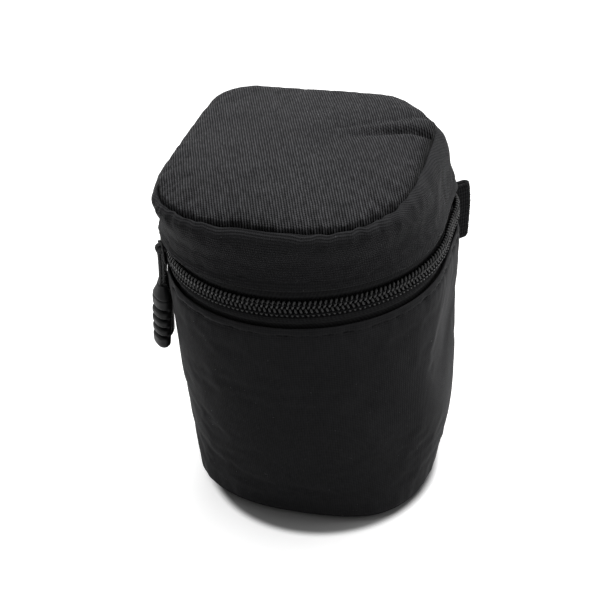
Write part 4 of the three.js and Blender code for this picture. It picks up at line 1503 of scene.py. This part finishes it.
# webbing tabs at the corner seams
tab = {
    "rise": 2.6,  # above the frame's
    "length": 9.3,
    "half": 2.0,  # half the distance between its leaves
    "web": 1.45,
    "root": 2.6,
    "rib": 0.95,  # from one rib of its weave to the next
    "ribDepth": 0.16,
}


def tabPiece(name, side, node):
    low, high = boxOf(node)
    bottom, top = low[2] + tab["rise"], high[2] + tab["rise"]
    angle = math.radians(135 if side > 0 else 45)
    out = np.array([math.cos(angle), math.sin(angle)])
    across = np.array([-out[1], out[0]])
    # out along one leaf, round the fold and back along the other, then inside the fold
    bend = np.radians(np.linspace(-90, 90, 13)[1:-1])
    half = tab["half"]
    tip = tab["length"] - half
    outer = [(-tab["root"], -half)] + [(s, -half) for s in np.linspace(0, tip, 12)]
    outer += [(tip + half * math.cos(a), half * math.sin(a)) for a in bend]
    outer += [(s, half) for s in np.linspace(tip, 0, 12)] + [(-tab["root"], half)]
    outer = evenly(outer, 0.32)
    heights = np.linspace(bottom, top, 61)
    rows = []
    for height in heights:
        seam = bodyPoint([side * seamRun], height, 0)[0]
        fromEdge = min(height - bottom, top - height)
        thin = 0.25 * math.exp(-((fromEdge / 0.7) ** 2))
        rib = tab["ribDepth"] * math.sin(fullTurn * (height - bottom) / tab["rib"])
        reach = outer[:, 0] + (rib - 0.35 * math.exp(-(fromEdge / 0.9))) * (outer[:, 0] > tip)
        wide = outer[:, 1] * (1 - thin + 0.03 * rib)
        plan = seam[:2] + np.outer(reach, out) + np.outer(wide, across)
        rows.append(np.column_stack([plan, np.full(len(plan), height)]))
    points = np.array(rows)
    piece = gridPiece(name, points, clothUv(points))
    thicken(piece, tab["web"])
    return finishPiece(piece, "body", webbing, "webbing", node)


tabPiece("left_webbing_tab", 1, "left_tab")
tabPiece("right_webbing_tab", -1, "right_tab")


# stitching that shows
def bodyHemPoint(run, height, inset):
    return bodyPoint(run, loweredHem(height), inset + bodyCloth["groove"])


def lidHemPoint(run, height, inset):
    groove = lidCloth["groove"] - 0.4 * overhangAt(run)
    return lidPoint(run, raisedHem(height, run), inset + groove)


stitchRow("body_hem_stitches", bodyHemPoint, -seamRun + 2, seamRun - 2, bodyStitch, "body")
stitchRow("lid_hem_stitches", lidHemPoint, -halfRun + 0.3, halfRun - 0.3, lidStitch, "lid")
print("tabs and stitches made")

# floor, light and camera
studio = {
    "floorColour": 0.85,
    "bounce": 0.2,  # the floor's colour as the pouch sees it
    # the floor looks whiter to the camera, but for a ring round the pouch's foot, where its colour is
    # also darkened as a painted contact shadow
    "lift": {
        "most": 0.62,
        "foot": (45, 43.5),
        "middle": (2, -6),
        "starts": 1.0,
        "ends": 1.1,
        # the floor's colour right at the foot, as a share: a painted contact shadow
        "rim": 0.46,
    },
    "world": 0.2,
    "sun": {"from": (0.05, 0.3, 1), "angle": 50, "strength": 3.2},
    "lamps": [
        {"name": "right", "at": (460, -40, 260), "towards": (0, 0, 70), "size": 320, "power": 0.3},
        {"name": "left", "at": (-460, 60, 240), "towards": (0, 0, 70), "size": 320, "power": 0.08},
    ],
}


def cameraWhite(tree, strength):
    # seen by the camera, in gloss or through glass
    path = addNode(tree, "LightPath")
    seen = calc(tree, "MAXIMUM", path.outputs["Is Camera Ray"], path.outputs["Is Glossy Ray"])
    seen = calc(tree, "MAXIMUM", seen, path.outputs["Is Transmission Ray"])
    return calc(tree, "MULTIPLY", seen, strength)


def makeFloor():
    mesh = bpy.data.meshes.new("floor")
    reach = 4.0
    corners = [(x * reach, y * reach, 0) for x, y in ((-1, -1), (1, -1), (1, 1), (-1, 1))]
    mesh.from_pydata(corners, [], [(0, 1, 2, 3)])
    floor = placed("floor", mesh)
    material, tree, shader = newMaterial("floor")
    seen = cameraWhite(tree, studio["floorColour"] - studio["bounce"])
    shade = calc(tree, "ADD", seen, studio["bounce"])
    shader.inputs["Roughness"].default_value = 0.9
    shader.inputs["Specular IOR Level"].default_value = 0.1
    lift = studio["lift"]
    split = addNode(tree, "SeparateXYZ", None, Vector=addNode(tree, "TexCoord").outputs["Object"])
    fromFoot = 0.0
    for k in (0, 1):
        off = calc(tree, "SUBTRACT", split.outputs[k], lift["middle"][k] * mm)
        share = calc(tree, "DIVIDE", off, lift["foot"][k] * mm)
        fromFoot = calc(tree, "ADD", calc(tree, "POWER", share, 2.0), fromFoot)
    fromFoot = calc(tree, "SQRT", fromFoot)
    ramp = addNode(tree, "MapRange", {"interpolation_type": "SMOOTHSTEP"}, Value=fromFoot)
    ramp.inputs["From Min"].default_value = lift["starts"]
    ramp.inputs["From Max"].default_value = lift["ends"]
    away = ramp.outputs[0]
    # painted contact shadow: the floor's colour darkens towards the foot
    withFootShadow = calc(tree, "MULTIPLY", shade, remap(tree, away, lift["rim"], 1.0))
    tree.links.new(withFootShadow, shader.inputs["Base Color"])
    seen = calc(tree, "MULTIPLY", cameraWhite(tree, lift["most"]), away)
    glow = addNode(tree, "Emission", None, Strength=seen)
    both = addNode(tree, "AddShader", None, i0=shader.outputs[0], i1=glow.outputs[0])
    tree.links.new(both.outputs[0], tree.nodes["Material Output"].inputs["Surface"])
    floor.data.materials.append(material)


def makeWorld():
    world = bpy.data.worlds.new("studio")
    bpy.context.scene.world = world
    world.use_nodes = True
    tree = world.node_tree
    back = tree.nodes["Background"]
    back.inputs["Color"].default_value = (1, 1, 1, 1)
    lit = calc(tree, "ADD", cameraWhite(tree, 1 - studio["world"]), studio["world"])
    tree.links.new(lit, back.inputs["Strength"])


def turnTowards(holder, direction):
    holder.rotation_euler = direction.to_track_quat("-Z", "Y").to_euler()


def makeLamps():
    sun = bpy.data.lights.new("sun", "SUN")
    sun.angle = math.radians(studio["sun"]["angle"])
    sun.energy = studio["sun"]["strength"]
    turnTowards(placed("sun", sun), -Vector(studio["sun"]["from"]))
    for lamp in studio["lamps"]:
        light = bpy.data.lights.new(lamp["name"], "AREA")
        light.shape = "DISK"
        light.size = lamp["size"] * mm
        light.energy = lamp["power"]
        holder = placed(lamp["name"], light)
        holder.location = Vector(lamp["at"]) * mm
        turnTowards(holder, Vector(lamp["towards"]) - Vector(lamp["at"]))


view = {
    "at": (114.30, -361.87, 333.67),
    "towards": (-3.46, -5.34, 78.45),
    "roll": 0.072,
    "lens": 70.47,
}


def makeCamera():
    camera = bpy.data.cameras.new("camera")
    camera.lens = view["lens"]
    camera.sensor_width = 36
    camera.clip_start = 0.01
    holder = placed("camera", camera)
    look = (Vector(view["towards"]) - Vector(view["at"])).normalized()
    right = look.cross(Vector((0, 0, 1))).normalized()
    up = right.cross(look)
    cosRoll, sinRoll = math.cos(view["roll"]), math.sin(view["roll"])
    x = right * cosRoll - up * sinRoll
    y = right * sinRoll + up * cosRoll
    turned = Matrix((x, y, -look)).transposed().to_4x4()
    holder.matrix_world = Matrix.Translation(Vector(view["at"]) * mm) @ turned
    bpy.context.scene.camera = holder


makeFloor()
makeWorld()
makeLamps()
makeCamera()
bpy.context.scene.view_settings.view_transform = "Standard"
print("studio ready")
